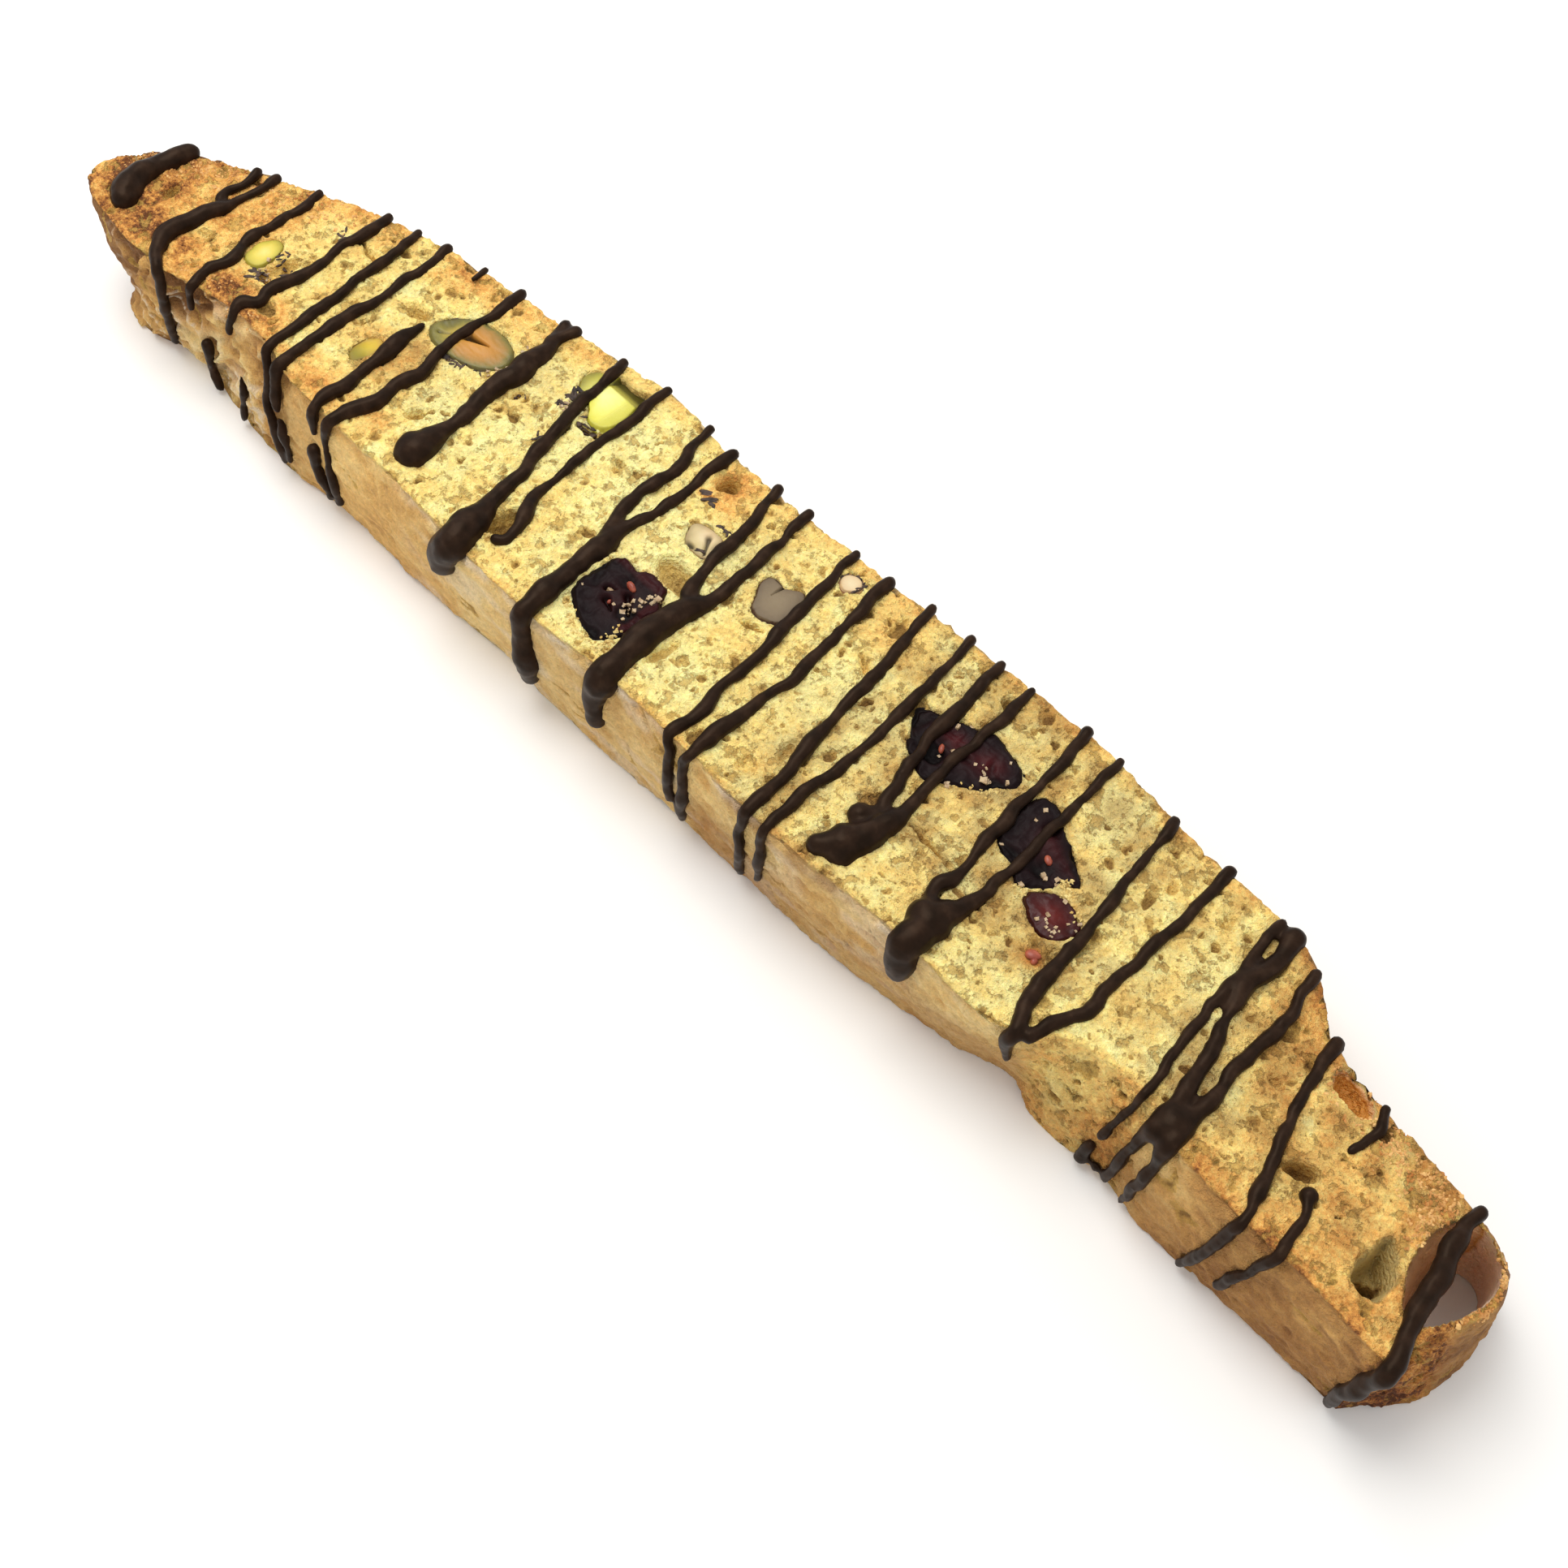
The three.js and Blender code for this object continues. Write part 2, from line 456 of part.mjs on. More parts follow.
// The places that a strand passes, with the way out of the surface and the strand's width at each.
function strandStops({ run, width, drop = 0, foot, hang }, seed) {
  const places = run.map(([x, y]) => new THREE.Vector3(x, y, 0));
  const curve = new THREE.CatmullRomCurve3(places, false, "centripetal");
  const steps = Math.max(2, Math.round(curve.getLength() / STRAND_STEP));
  const stops = [];
  const startX = run[0][0];
  const meetsBack = run[0][1] > backTop(startX) - BACK_REACH;
  if (meetsBack) {
    const y = Math.min(run[0][1], backTop(startX)) - BACK_SHORT;
    stops.push({ ...overEdge(startX, y, BACK), width: width[0] });
  }
  for (let n = 0; n <= steps; n++) {
    const t = n / steps;
    const p = curve.getPointAt(t);
    const sway = STRAND_SWAY * noise(n * 0.9, 0, seed) * Math.min(1, 3 * t, 3 * (1 - t));
    const swell = 1 + STRAND_SWELL * noise(n * 0.8, 4, seed);
    if (meetsBack && p.y > backTop(p.x) - BACK_SHORT - TURN_CLEAR.back) continue;
    if (drop && p.y < frontTop(p.x) + TURN_CLEAR.front) continue;
    stops.push({ ...onFace(p.x + sway, p.y), width: lerp(...width, t ** 1.3) * swell });
  }
  if (drop) {
    const edgeX = run[run.length - 1][0];
    stops.push({ ...overEdge(edgeX, frontTop(edgeX) + 0.1, FRONT), width: lerp(width[1], hang, 0.4) });
    const falls = Math.max(1, Math.round(drop / WALL_STEP));
    for (let n = 1; n <= falls; n++) {
      const t = n / falls;
      stops.push({ ...onFront(lerp(edgeX, foot, t), lerp(FIRST_FALL, drop, t)), width: hang });
    }
  }
  return stops;
}

// A rounded bead of chocolate along its stops, sunk a little into what it lies on.
// grow makes it bigger all round, for the clearance that is cut out of nuts and berries.
function bead(stops, grow) {
  const section = (stop, along) => {
    const side = stop.out.clone().cross(along).normalize();
    const half = stop.width / 2 + grow;
    const rise = STRAND_RISE[0] + STRAND_RISE[1] * stop.width + grow;
    const shape = ROUND_TOP.map(([u, v]) => [u * half, v * rise]);
    shape.push([0, -STRAND_SUNK - grow]);
    return shape.map(([u, v]) => stop.at.clone().addScaledVector(side, u).addScaledVector(stop.out, v));
  };
  const last = stops.length - 1;
  const way = (i) => stops[Math.min(i + 1, last)].at.clone().sub(stops[Math.max(i - 1, 0)].at).normalize();
  const nose = (i, sign) => {
    const reach = stops[i].width * NOSE + grow;
    return stops[i].at.clone().addScaledVector(way(i), sign * reach).addScaledVector(stops[i].out, 0.2);
  };
  return loft(stops.map((stop, i) => section(stop, way(i))), [nose(0, -1), nose(last, 1)]);
}

function wallBit({ from, to, width }) {
  const stops = [from, to].map(([x, depth]) => ({ ...onFront(x, depth), width }));
  return bead(stops, 0);
}

function chocolateDrop({ at, size, height }, grow) {
  const ball = new THREE.SphereGeometry(1, 10, 6);
  ball.rotateX(Math.PI / 2);
  ball.scale(size[0] / 2 + grow, size[1] / 2 + grow, height + grow);
  ball.translate(at[0], at[1], faceZ(...at) - 0.1);
  return ball;
}

// ---------------------------------------------------------------- the whole biscotto

function buildBodies() {
  const strands = STRANDS.map((spec, n) => strandStops(spec, n + 11));
  let biscuit = solid(sliceGeometry());
  const hollows = [...INCLUSIONS.map(pocket), ...PITS.map(pit), tear(), heelBubble()];
  hollows.forEach((hollow) => (biscuit = biscuit.subtract(solid(hollow))));
  const poured = (grow) => {
    return [...strands.map((stops) => bead(stops, grow)), ...DROPS.map((drop) => chocolateDrop(drop, grow))];
  };
  const chocolate = [...poured(0), ...WALL_BITS.map(wallBit)];
  chocolate.forEach((piece) => (biscuit = biscuit.add(solid(piece))));

  const clearance = poured(GAP).map(solid);
  const bodies = { biscuit };
  INCLUSIONS.forEach((spec) => {
    let body = solid(inclusion(spec));
    clearance.forEach((space) => (body = body.subtract(space)));
    bodies[spec.name] = body;
  });
  return bodies;
}

function meshOf(name, body) {
  const look = LOOKS[name.split("_")[0]];
  const mesh = new THREE.Mesh(backToGeometry(body), new THREE.MeshStandardMaterial({ ...look, metalness: 0 }));
  mesh.name = name;
  return mesh;
}

const biscotto = new THREE.Group();
Object.entries(buildBodies()).forEach(([name, body]) => biscotto.add(meshOf(name, body)));
biscotto.position.set(-MIDDLE.x, -MIDDLE.y, 0);

export default biscotto;
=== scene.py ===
# %% [markdown]
# # A drizzled biscotto
# The object is one slice of a twice-baked loaf, lying on its cut side. Pistachios, dried cranberries
# and pecans were baked into it and cut through with it, and dark chocolate was drizzled across it.
# This lesson dresses the plain solids with what the oven and the knife leave: a torn, open crumb, a
# dry floury crust, shrivelled fruit and poured chocolate.

import itertools
import math

import bpy
import numpy as np
from mathutils import Matrix, Vector
from mathutils.bvhtree import BVHTree


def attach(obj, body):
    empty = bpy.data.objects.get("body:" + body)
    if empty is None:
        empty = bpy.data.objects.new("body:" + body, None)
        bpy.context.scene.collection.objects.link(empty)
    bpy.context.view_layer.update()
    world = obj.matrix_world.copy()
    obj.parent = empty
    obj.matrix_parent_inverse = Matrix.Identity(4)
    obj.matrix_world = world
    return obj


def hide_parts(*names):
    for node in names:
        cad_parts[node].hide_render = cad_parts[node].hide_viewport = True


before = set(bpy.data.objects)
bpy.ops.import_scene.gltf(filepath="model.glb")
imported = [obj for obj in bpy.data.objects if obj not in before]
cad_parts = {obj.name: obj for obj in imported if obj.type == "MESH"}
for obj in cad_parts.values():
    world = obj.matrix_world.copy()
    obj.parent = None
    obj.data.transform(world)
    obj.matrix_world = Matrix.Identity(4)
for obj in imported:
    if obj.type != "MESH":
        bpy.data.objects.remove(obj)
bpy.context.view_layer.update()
bpy.ops.object.select_all(action="DESELECT")
print("plain solids:", sorted(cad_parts))

# %% [markdown]
# ## Units and places
# The slice is measured in millimetres from its pointed toe and its base crust: x runs along it, y
# across it, and z up from the table. Everything is modelled in those units, because a baker's ruler
# reads them, and `settle` then moves each finished mesh to the frame's metres.

# %% Units and small helpers
MM = 0.001
MIDDLE = (95.3, 14.2)  # the point of the slice that stands over the frame's origin
THICK = 14.0  # between the two cut faces
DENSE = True


def take_only(piece):
    """Selects one object alone and makes it the active one."""
    bpy.ops.object.select_all(action="DESELECT")
    piece.select_set(True)
    bpy.context.view_layer.objects.active = piece
    return piece


def named(name):
    """The object that an operator has just added, under its own name."""
    piece = bpy.context.object
    piece.name = piece.data.name = name
    return take_only(piece)


def coords(piece):
    flat = np.empty(len(piece.data.vertices) * 3)
    piece.data.vertices.foreach_get("co", flat)
    return flat.reshape(-1, 3)


def reshape(piece, points):
    piece.data.vertices.foreach_set("co", np.asarray(points, float).ravel())
    piece.data.update()


def normals(piece):
    flat = np.empty(len(piece.data.vertices) * 3)
    piece.data.vertex_normals.foreach_get("vector", flat)
    return flat.reshape(-1, 3)


def paint(piece, name, values):
    """Keeps one number for each point of a mesh, for its material to read."""
    layer = piece.data.attributes.get(name) or piece.data.attributes.new(name, "FLOAT", "POINT")
    layer.data.foreach_set("value", np.clip(values, 0, 1).astype(np.float32))


def apply_modifier(piece, kind, **settings):
    take_only(piece)
    bpy.ops.object.modifier_add(type=kind)
    modifier = piece.modifiers[-1]
    for key, value in settings.items():
        setattr(modifier, key, value)
    bpy.ops.object.modifier_apply(modifier=modifier.name)


def settle(piece):
    """Moves a finished mesh from the slice's millimetres to the frame's metres."""
    place = Matrix.Scale(MM, 4) @ Matrix.Translation((-MIDDLE[0], -MIDDLE[1], 0))
    piece.data.transform(place)
    piece.data.update()
    take_only(piece)
    bpy.ops.object.shade_smooth()
    print(f"{piece.name}: {sum(len(p.vertices) - 2 for p in piece.data.polygons)} triangles")
    return piece


# %% [markdown]
# ## Camera and light
# The slice is looked at from above its heel, over the base crust. A large soft light stands over the
# toe, so the heel is a little darker. A white room fills the shadows, and the floor is white card.

# %% Camera
bpy.ops.object.camera_add(
    location=(0.0881, -0.0922, 0.19424),
    rotation=[math.radians(turn) for turn in (31.18, -3.01, 46.14)],
)
camera = bpy.context.object
camera.data.sensor_width = 36
camera.data.lens = 50.3
camera.data.clip_start = 0.01
bpy.context.scene.camera = camera
bpy.context.scene.view_settings.view_transform = "Standard"
print("camera height over the table, mm:", round(camera.location.z / MM))

# %% Lights
ROOM_LIGHT = 0.74
KEY_WATTS = 1.9
world = bpy.data.worlds.new("white_room")
bpy.context.scene.world = world
world.use_nodes = True
world.node_tree.nodes["Background"].inputs["Color"].default_value = (1.0, 0.995, 0.985, 1)
world.node_tree.nodes["Background"].inputs["Strength"].default_value = ROOM_LIGHT
bpy.ops.object.light_add(type="AREA", location=(-0.20, 0.02, 0.50))
key = bpy.context.object
key.data.size = 0.36
key.data.energy = KEY_WATTS
key.data.color = (1.0, 0.98, 0.95)
key.rotation_euler = (-key.location).to_track_quat("-Z", "Y").to_euler()
print("key light:", KEY_WATTS, "W")


# %% [markdown]
# ## Materials: two helpers
# Colours are written as they would be picked from a swatch, in sRGB hex, and turned to the linear
# numbers that a shader works in. One small function adds a node with its settings and links.

# %% Colour and node helpers
def colour(swatch):
    """An sRGB hex colour as linear RGBA."""
    parts = [int(swatch[i : i + 2], 16) / 255 for i in (1, 3, 5)]
    return [p / 12.92 if p <= 0.04045 else ((p + 0.055) / 1.055) ** 2.4 for p in parts] + [1.0]


def add_node(tree, kind, inputs=None, **settings):
    """Adds a node. inputs gives each socket a constant, another node's socket, or a whole node,
    which stands for the first of its outputs that is in use."""
    node = tree.nodes.new("ShaderNode" + kind)
    for key, value in settings.items():
        setattr(node, key, value)
    for socket, value in (inputs or {}).items():
        if isinstance(value, bpy.types.Node):
            value = next(output for output in value.outputs if output.enabled)
        if isinstance(value, bpy.types.NodeSocket):
            tree.links.new(value, node.inputs[socket])
        else:
            node.inputs[socket].default_value = value
    return node


def set_ramp(node, stops):
    """Gives a colour ramp its stops: [(place, hex colour), ...]."""
    ramp = node.color_ramp
    while len(ramp.elements) < len(stops):
        ramp.elements.new(0.5)
    for element, (place, swatch) in zip(ramp.elements, stops):
        element.position = place
        element.color = colour(swatch)
    return node


def new_material(name):
    material = bpy.data.materials.new(name)
    material.use_nodes = True
    material.node_tree.nodes.clear()
    return material, material.node_tree


def per(millimetres):
    """The texture scale that repeats a pattern once in so many millimetres."""
    return 1000.0 / millimetres


def dress(piece, material, slot, *stands_for):
    """Gives a piece its finish, and its place on the frame or instead of plain solids there."""
    piece.data.materials.clear()
    piece.data.materials.append(material)
    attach(piece, "root")
    if stands_for:
        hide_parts(*stands_for)
    print(piece.name, "is", material.name)


print("crumb colour, linear:", [round(c, 3) for c in colour("#f3df8e")[:3]])

# %% [markdown]
# ## The floor
# White card: matt, and so bright in the soft light that only the shadow under the slice shows on it.

# %% Floor
bpy.ops.mesh.primitive_plane_add(size=6, location=(0, 0, 0))
floor = named("floor")
card, tree = new_material("white_card_matt")
fibres = add_node(
    tree,
    "TexNoise",
    {"Vector": add_node(tree, "TexCoord").outputs["Object"], "Scale": per(3), "Detail": 4.0},
)
card_bump = add_node(
    tree, "Bump", {"Height": fibres.outputs["Fac"], "Strength": 0.05, "Distance": 0.0001}
)
card_shader = add_node(
    tree,
    "BsdfPrincipled",
    {"Base Color": colour("#fbfaf8"), "Roughness": 0.95, "Normal": card_bump},
)
add_node(tree, "OutputMaterial", {"Surface": card_shader})
floor.data.materials.append(card)
print("floor:", floor.dimensions[:2])


# %% [markdown]
# ## Noise
# Nothing baked is even. Two seeded noises are enough for the whole slice: `noise` swells and dips
# smoothly from -1 to 1, and `bubbles` gives the craters that a knife opens when it passes through
# dough full of round bubbles of gas.

# %% Noise and bubbles
def smooth(value, low=0.0, high=1.0):
    t = np.clip((np.asarray(value, float) - low) / (high - low), 0, 1)
    return t * t * (3 - 2 * t)


def scatter(cells, seed):
    """A number from 0 to 1 for each row of whole numbers."""
    turns = np.sin(cells @ np.array([127.1, 311.7, 74.7]) + seed * 53.3) * 43758.5453
    return turns - np.floor(turns)


def noise(points, seed):
    base = np.floor(points)
    t = smooth(points - base)
    total = np.zeros(len(points))
    for corner in itertools.product((0, 1), repeat=3):
        weight = np.prod(np.where(corner, t, 1 - t), axis=1)
        total += weight * scatter(base + corner, seed)
    return 2 * total - 1


def bubbles(points, out, cell, radius, share, seed):
    """How deep each point sinks into the bubbles it lies in. radius is in shares of the cell."""
    base = np.floor(points / cell)
    deepest = np.zeros(len(points))
    for step in itertools.product((-1, 0, 1), repeat=3):
        home = base + step
        jitter = np.stack([scatter(home, seed + k) for k in range(3)], axis=1)
        to = points - (home + jitter) * cell
        size = cell * (radius[0] + (radius[1] - radius[0]) * scatter(home, seed + 3) ** 2)
        along = (to * out).sum(1)
        inside = size**2 - (to**2).sum(1)
        depth = along + np.sqrt(np.maximum(inside + along**2, 0))
        kept = (inside > 0) & (scatter(home, seed + 4) < share)
        deepest = np.maximum(deepest, np.where(kept, np.minimum(depth, 1.3 * size), 0))
    return deepest


probe = noise(np.random.default_rng(1).uniform(0, 50, (1000, 3)), 1)
print("noise runs from", round(probe.min(), 2), "to", round(probe.max(), 2))

# %% [markdown]
# ## The slice's outline
# The crust lines follow the loaf: a nearly straight base at the front, a low dome at the back, a toe
# cut at a slant and a blunt heel. Each line is a smooth curve through the few places where it turns.

# %% Outline
FRONT_TOP = [
    (-0.8, 2.6), (0, 1.7), (4, -0.1), (16, -1.2), (22, 0.4), (28, 1.5), (33, 1.3), (40, -0.3), (56, -0.3),
    (74, -1.1), (81, -1), (89, 0), (115, -0.4), (129, 0.7), (140, 0.5), (144, 1.4), (149, 5.2),
    (156, 5.8), (161, 4.1), (168, 3.3), (178, 3.2), (187, 2.2),
]
FRONT_FOOT = [
    (4.7, 1.3), (6.9, -0.9), (12, -1.5), (17, 0.2), (22, 0.1), (29, -1.2), (38, -1.8), (46, -1),
    (64, -1), (76, 0), (81, -0.7), (90, -0.4), (113, 0.4), (124, 0.6), (138, 2.5), (144, 4.4),
    (149, 2.4), (157, 2.9), (163, 2), (184, 2.1),
]
BACK_TOP = [
    (-0.8, 3.6), (0, 5.2), (2, 9.2), (6, 13.1), (15, 17.6), (26, 22.4), (36, 25.3), (50, 27.2), (68, 29.7),
    (80, 29), (100, 29.6), (127, 31.1), (146, 29.5), (154, 29.3), (159, 27.9), (164, 23.8),
    (169, 21.9), (178, 20.6), (185, 19.2), (190, 16.8),
]
HEEL_TOP = [(0, 186.9), (0.35, 188), (0.52, 189.2), (0.8, 190.3), (1, 189)]
HEEL_FOOT = [(0, 186.2), (0.12, 188), (0.25, 190), (0.42, 191.2), (0.8, 191.3), (1, 189.2)]
TOE_LEAN = [(0, -0.8), (0.42, 2.8), (0.8, 7), (1, 4.9)]
HEEL_SPREAD = 3.2
LENGTH = 190.0


def through(points):
    """A smooth curve through points (a, b) with a rising."""
    a, b = np.array(points, float).T
    before, after = np.maximum(np.arange(len(a)) - 1, 0), np.minimum(np.arange(len(a)) + 1, len(a) - 1)
    slope = (b[after] - b[before]) / (a[after] - a[before])

    def value(at):
        at = np.clip(np.asarray(at, float), a[0], a[-1])
        i = np.clip(np.searchsorted(a, at, side="right") - 1, 0, len(a) - 2)
        width = a[i + 1] - a[i]
        t = (at - a[i]) / width
        bend = t * (1 - t) * width * (slope[i] * (1 - t) - slope[i + 1] * t)
        return b[i] + (b[i + 1] - b[i]) * smooth(t) + bend

    return value


front_top, front_foot, back_top = through(FRONT_TOP), through(FRONT_FOOT), through(BACK_TOP)
heel_top, heel_foot, toe_lean = through(HEEL_TOP), through(HEEL_FOOT), through(TOE_LEAN)


def front_y(x, depth):
    """Where the base crust stands, at a depth under the upper cut face."""
    level = np.clip(depth / THICK, 0, 1)
    slide = 1 - smooth(x, 8, 20)
    top = front_top(x - slide * toe_lean(level))
    foot = front_foot(x + slide * (toe_lean(1) - toe_lean(level)))
    return top + (foot - top) * level - 0.7 * np.sin(np.pi * level) ** 2 * (1 - slide)


def back_y(x, depth):
    level = np.clip(depth / THICK, 0, 1)
    lean = toe_lean(level) * (1 - 0.7 * x / LENGTH)
    return back_top(x - lean) + HEEL_SPREAD * smooth(x, 172, LENGTH) * level + 0.35 * np.sin(np.pi * level)


def face_z(x, y):
    """The height of the upper cut face, with the hollow that crosses it at the notch."""
    flat = np.stack([x / 7, y / 6, 0 * x], axis=-1).reshape(-1, 3)
    rough = 0.13 * noise(flat, 1) + 0.09 * noise(flat * 2.3, 2)
    valley = 1.1 * np.exp(-(((x - 163) / 2.6) ** 2)) * smooth(y, 12, 24)
    return THICK + rough.reshape(np.shape(x)) - valley


print("width at mid length, mm:", round(float(back_top(95) - front_top(95)), 1))

# %% [markdown]
# ## The slice: from sheet to loaf
# A flat sheet of squares is drawn down in eight steps into a slab. Its points are then laid along the
# crust lines: how far a point is along, across and down the slab says where it goes. This keeps the
# walls in long even rows, which a block of clay pushed about by hand would not.

# %% Slab
LEVELS = (0, 0.035, 0.1, 0.26, 0.42, 0.6, 0.8, 0.95, 1)
bpy.ops.mesh.primitive_grid_add(x_subdivisions=190, y_subdivisions=18, size=1, location=(0.5, 0.5, 0))
slice_body = named("biscotto_crumb")
bpy.ops.object.transform_apply(location=True, rotation=False, scale=False)
bpy.ops.object.mode_set(mode="EDIT")
bpy.ops.mesh.select_all(action="SELECT")
for upper, lower in zip(LEVELS, LEVELS[1:]):
    bpy.ops.mesh.extrude_region_move(TRANSFORM_OT_translate={"value": (0, 0, upper - lower)})
bpy.ops.mesh.select_all(action="SELECT")
bpy.ops.mesh.normals_make_consistent(inside=False)
bpy.ops.object.mode_set(mode="OBJECT")

along, across, level = coords(slice_body).T
level = -level
worn = 0.5 * (1 - smooth(level, 0, 0.06)) + 0.2 * smooth(level, 0.95, 1)
toe = toe_lean(level) + 0.7 * (2 * across - 1) ** 2 + worn / 3
heel = heel_top(across) * (1 - level) + heel_foot(across) * level - worn
x = toe + (heel - toe) * along
depth = level * THICK
front, back = front_y(x, depth) + worn, back_y(x, depth) - worn
y = front + (back - front) * across
z = np.where(level == 0, face_z(x, y), THICK - depth)
reshape(slice_body, np.stack([x, y, z], axis=1))
print("slab:", len(slice_body.data.polygons), "faces")

# %% [markdown]
# The heel was baked round a big bubble, and the knife left it as a hole right through. A short
# cylinder is shaped into an egg that slants back as it goes down, and taken away with a boolean.

# %% Bubble through the heel
BUBBLE_TOP = {"at": (185.5, 12.7), "half": (3.4, 5.8)}
BUBBLE_FOOT = {"at": (187.0, 15.9), "half": (2.5, 4.8)}
EGG = 0.3
bpy.ops.mesh.primitive_cylinder_add(vertices=48, radius=1, depth=1.2, location=(0, 0, 0.5))
cutter = named("bubble_cutter")
bpy.ops.object.transform_apply()
points = coords(cutter)
down = 1 - points[:, 2]
turn = np.arctan2(points[:, 1], points[:, 0])
for axis, ring in ((0, np.cos(turn) * (1 + EGG * np.sin(turn))), (1, np.sin(turn))):
    middle = BUBBLE_TOP["at"][axis] + (BUBBLE_FOOT["at"][axis] - BUBBLE_TOP["at"][axis]) * down
    half = BUBBLE_TOP["half"][axis] + (BUBBLE_FOOT["half"][axis] - BUBBLE_TOP["half"][axis]) * down
    points[:, axis] = middle + half * ring
points[:, 2] = THICK * (1 - down)
reshape(cutter, points)
apply_modifier(slice_body, "BOOLEAN", object=cutter, operation="DIFFERENCE", solver="EXACT")
bpy.data.objects.remove(cutter)
print("after the bubble:", len(slice_body.data.polygons), "faces")

# %% [markdown]
# Fine relief needs many small even faces, so the slab is rebuilt as voxels about a third of a
# millimetre across. That is as fine as a crumb of this size shows from a hand's breadth away.

# %% Even skin
VOXEL = 0.3 if DENSE else 0.6
apply_modifier(slice_body, "REMESH", mode="VOXEL", voxel_size=VOXEL)
print("skin:", len(slice_body.data.polygons), "faces")

# %% [markdown]
# ## Hollows in the cut face
# The knife opened bubbles with smooth olive skins, pulled nuts about, and tore the crumb near them.
# Each hollow is a bowl: its place, its length and width, its depth, and the angle it lies at.

# %% Hollows
PITS = [
    # place, size, depth, turn
    ((169.2, 20.2), (5.6, 2.8), 2.8, -18),
    ((81.0, 25.6), (2.8, 2.4), 2.2, 40),
    ((69.4, 5.2), (5.0, 3.0), 2.2, 75),
    ((40.7, 16.5), (3.4, 1.7), 1.4, 8),
    ((37.9, 11.0), (2.0, 1.0), 0.7, 60),
    ((52.1, 7.2), (2.6, 1.2), 1.2, 60),
    ((86.2, 13.4), (6.4, 3.0), 1.8, -10),
    ((170.6, 10.9), (3.4, 1.9), 2.6, 25),
    ((168.6, 9.8), (2.0, 0.8), 1.3, 60),
    ((125.4, 10.3), (6.4, 0.7), 1.8, -9),
    ((95.6, 15.0), (2.8, 1.0), 1.6, 20),
    ((119.7, 27.6), (2.2, 1.5), 1.5, 0),
    ((8.2, 7.4), (1.6, 2.8), 1.6, 12),
    ((14.0, 11.7), (0.9, 2.4), 1.2, 0),
    ((30.6, 18.0), (3.6, 0.7), 1.7, -12),
    ((26.0, 9.4), (2.4, 4.6), 1.3, -20),
    ((25.9, 7.0), (3.0, 1.1), 1.7, -10),
    ((27.6, 11.6), (1.6, 1.1), 1.2, 0),
    ((63.6, 17.6), (1.4, 2.6), 1.2, 10),
    ((65.8, 19.5), (4.0, 1.1), 1.5, 8),
    ((56.8, 17.0), (1.0, 2.2), 1.1, -20),
    ((56.5, 6.6), (3.6, 5.0), 0.5, 0),
    ((106.8, 20.0), (2.2, 1.1), 0.9, -25),
    ((108.7, 7.4), (1.3, 3.4), 0.9, 8),
    ((107.2, 3.3), (2.6, 2.0), 0.6, 0),
    ((91.9, 6.2), (1.5, 4.4), 1.0, -6),
    ((94.2, 7.0), (1.5, 1.2), 0.7, 0),
    ((71.3, 19.0), (1.6, 1.6), 0.8, 0),
    ((141.6, 10.0), (3.0, 1.8), 0.7, -40),
    ((142.7, 13.6), (1.8, 5.0), 0.7, -12),
    ((150.3, 25.0), (2.0, 2.2), 0.8, 30),
    ((144.2, 23.8), (1.2, 1.6), 0.8, 10),
    ((129.3, 6.2), (1.4, 3.0), 0.8, -10),
    ((163.7, 16.0), (2.4, 1.0), 0.7, 10),
    ((132.0, 2.2), (5.0, 1.8), 0.6, 5),
    ((181.3, 8.5), (2.6, 1.5), 9.0, 15),
]
TEAR_RIM = [(179.6, 12.4), (179.2, 9.4), (179.1, 7.8), (179.6, 6.3), (181.1, 5.9), (182.6, 6.4),
            (182.9, 9.0), (181.5, 11.0)]
TEAR_DEPTH, TEAR_FLOOR = 5.0, 0.55
GAP = -0.08  # the crumb closes a little over each nut and berry
RAGGED = 0.35  # how far the noise frays a hollow's rim


def bowl(points, at, size, depth, turn):
    """How far the face sinks in one hollow, whose rim is frayed by noise."""
    angle = math.radians(turn)
    fray = 0.5 * noise(points / 1.3, 31) + 0.3 * noise(points / 0.6, 32)
    dx, dy = points[:, 0] - at[0] + RAGGED * fray, points[:, 1] - at[1] + RAGGED * fray
    u = (dx * math.cos(angle) + dy * math.sin(angle)) / (size[0] / 2)
    v = (dy * math.cos(angle) - dx * math.sin(angle)) / (size[1] / 2)
    return depth * np.clip(1 - (u * u + v * v), 0, 1) ** 0.6


def tear_bowl(points):
    """A pointed tear whose smooth walls close in as they go down."""
    rim = np.array(TEAR_RIM)
    centre = rim.mean(0)
    way = points[:, :2] - centre
    share = np.zeros(len(points))
    for a, b in zip(rim - centre, np.roll(rim, -1, axis=0) - centre):
        edge = b - a
        out = np.array([edge[1], -edge[0]])
        share = np.maximum(share, (way @ out) / (a @ out))
    return TEAR_DEPTH * np.clip((1 - share) / (1 - TEAR_FLOOR), 0, 1)


print(len(PITS), "hollows")

# %% [markdown]
# ## Nuts and berries
# The knife cut these flush with the face. Each lies in its own pocket in the crumb, so its place and
# size are settled here, before the crumb is worked.

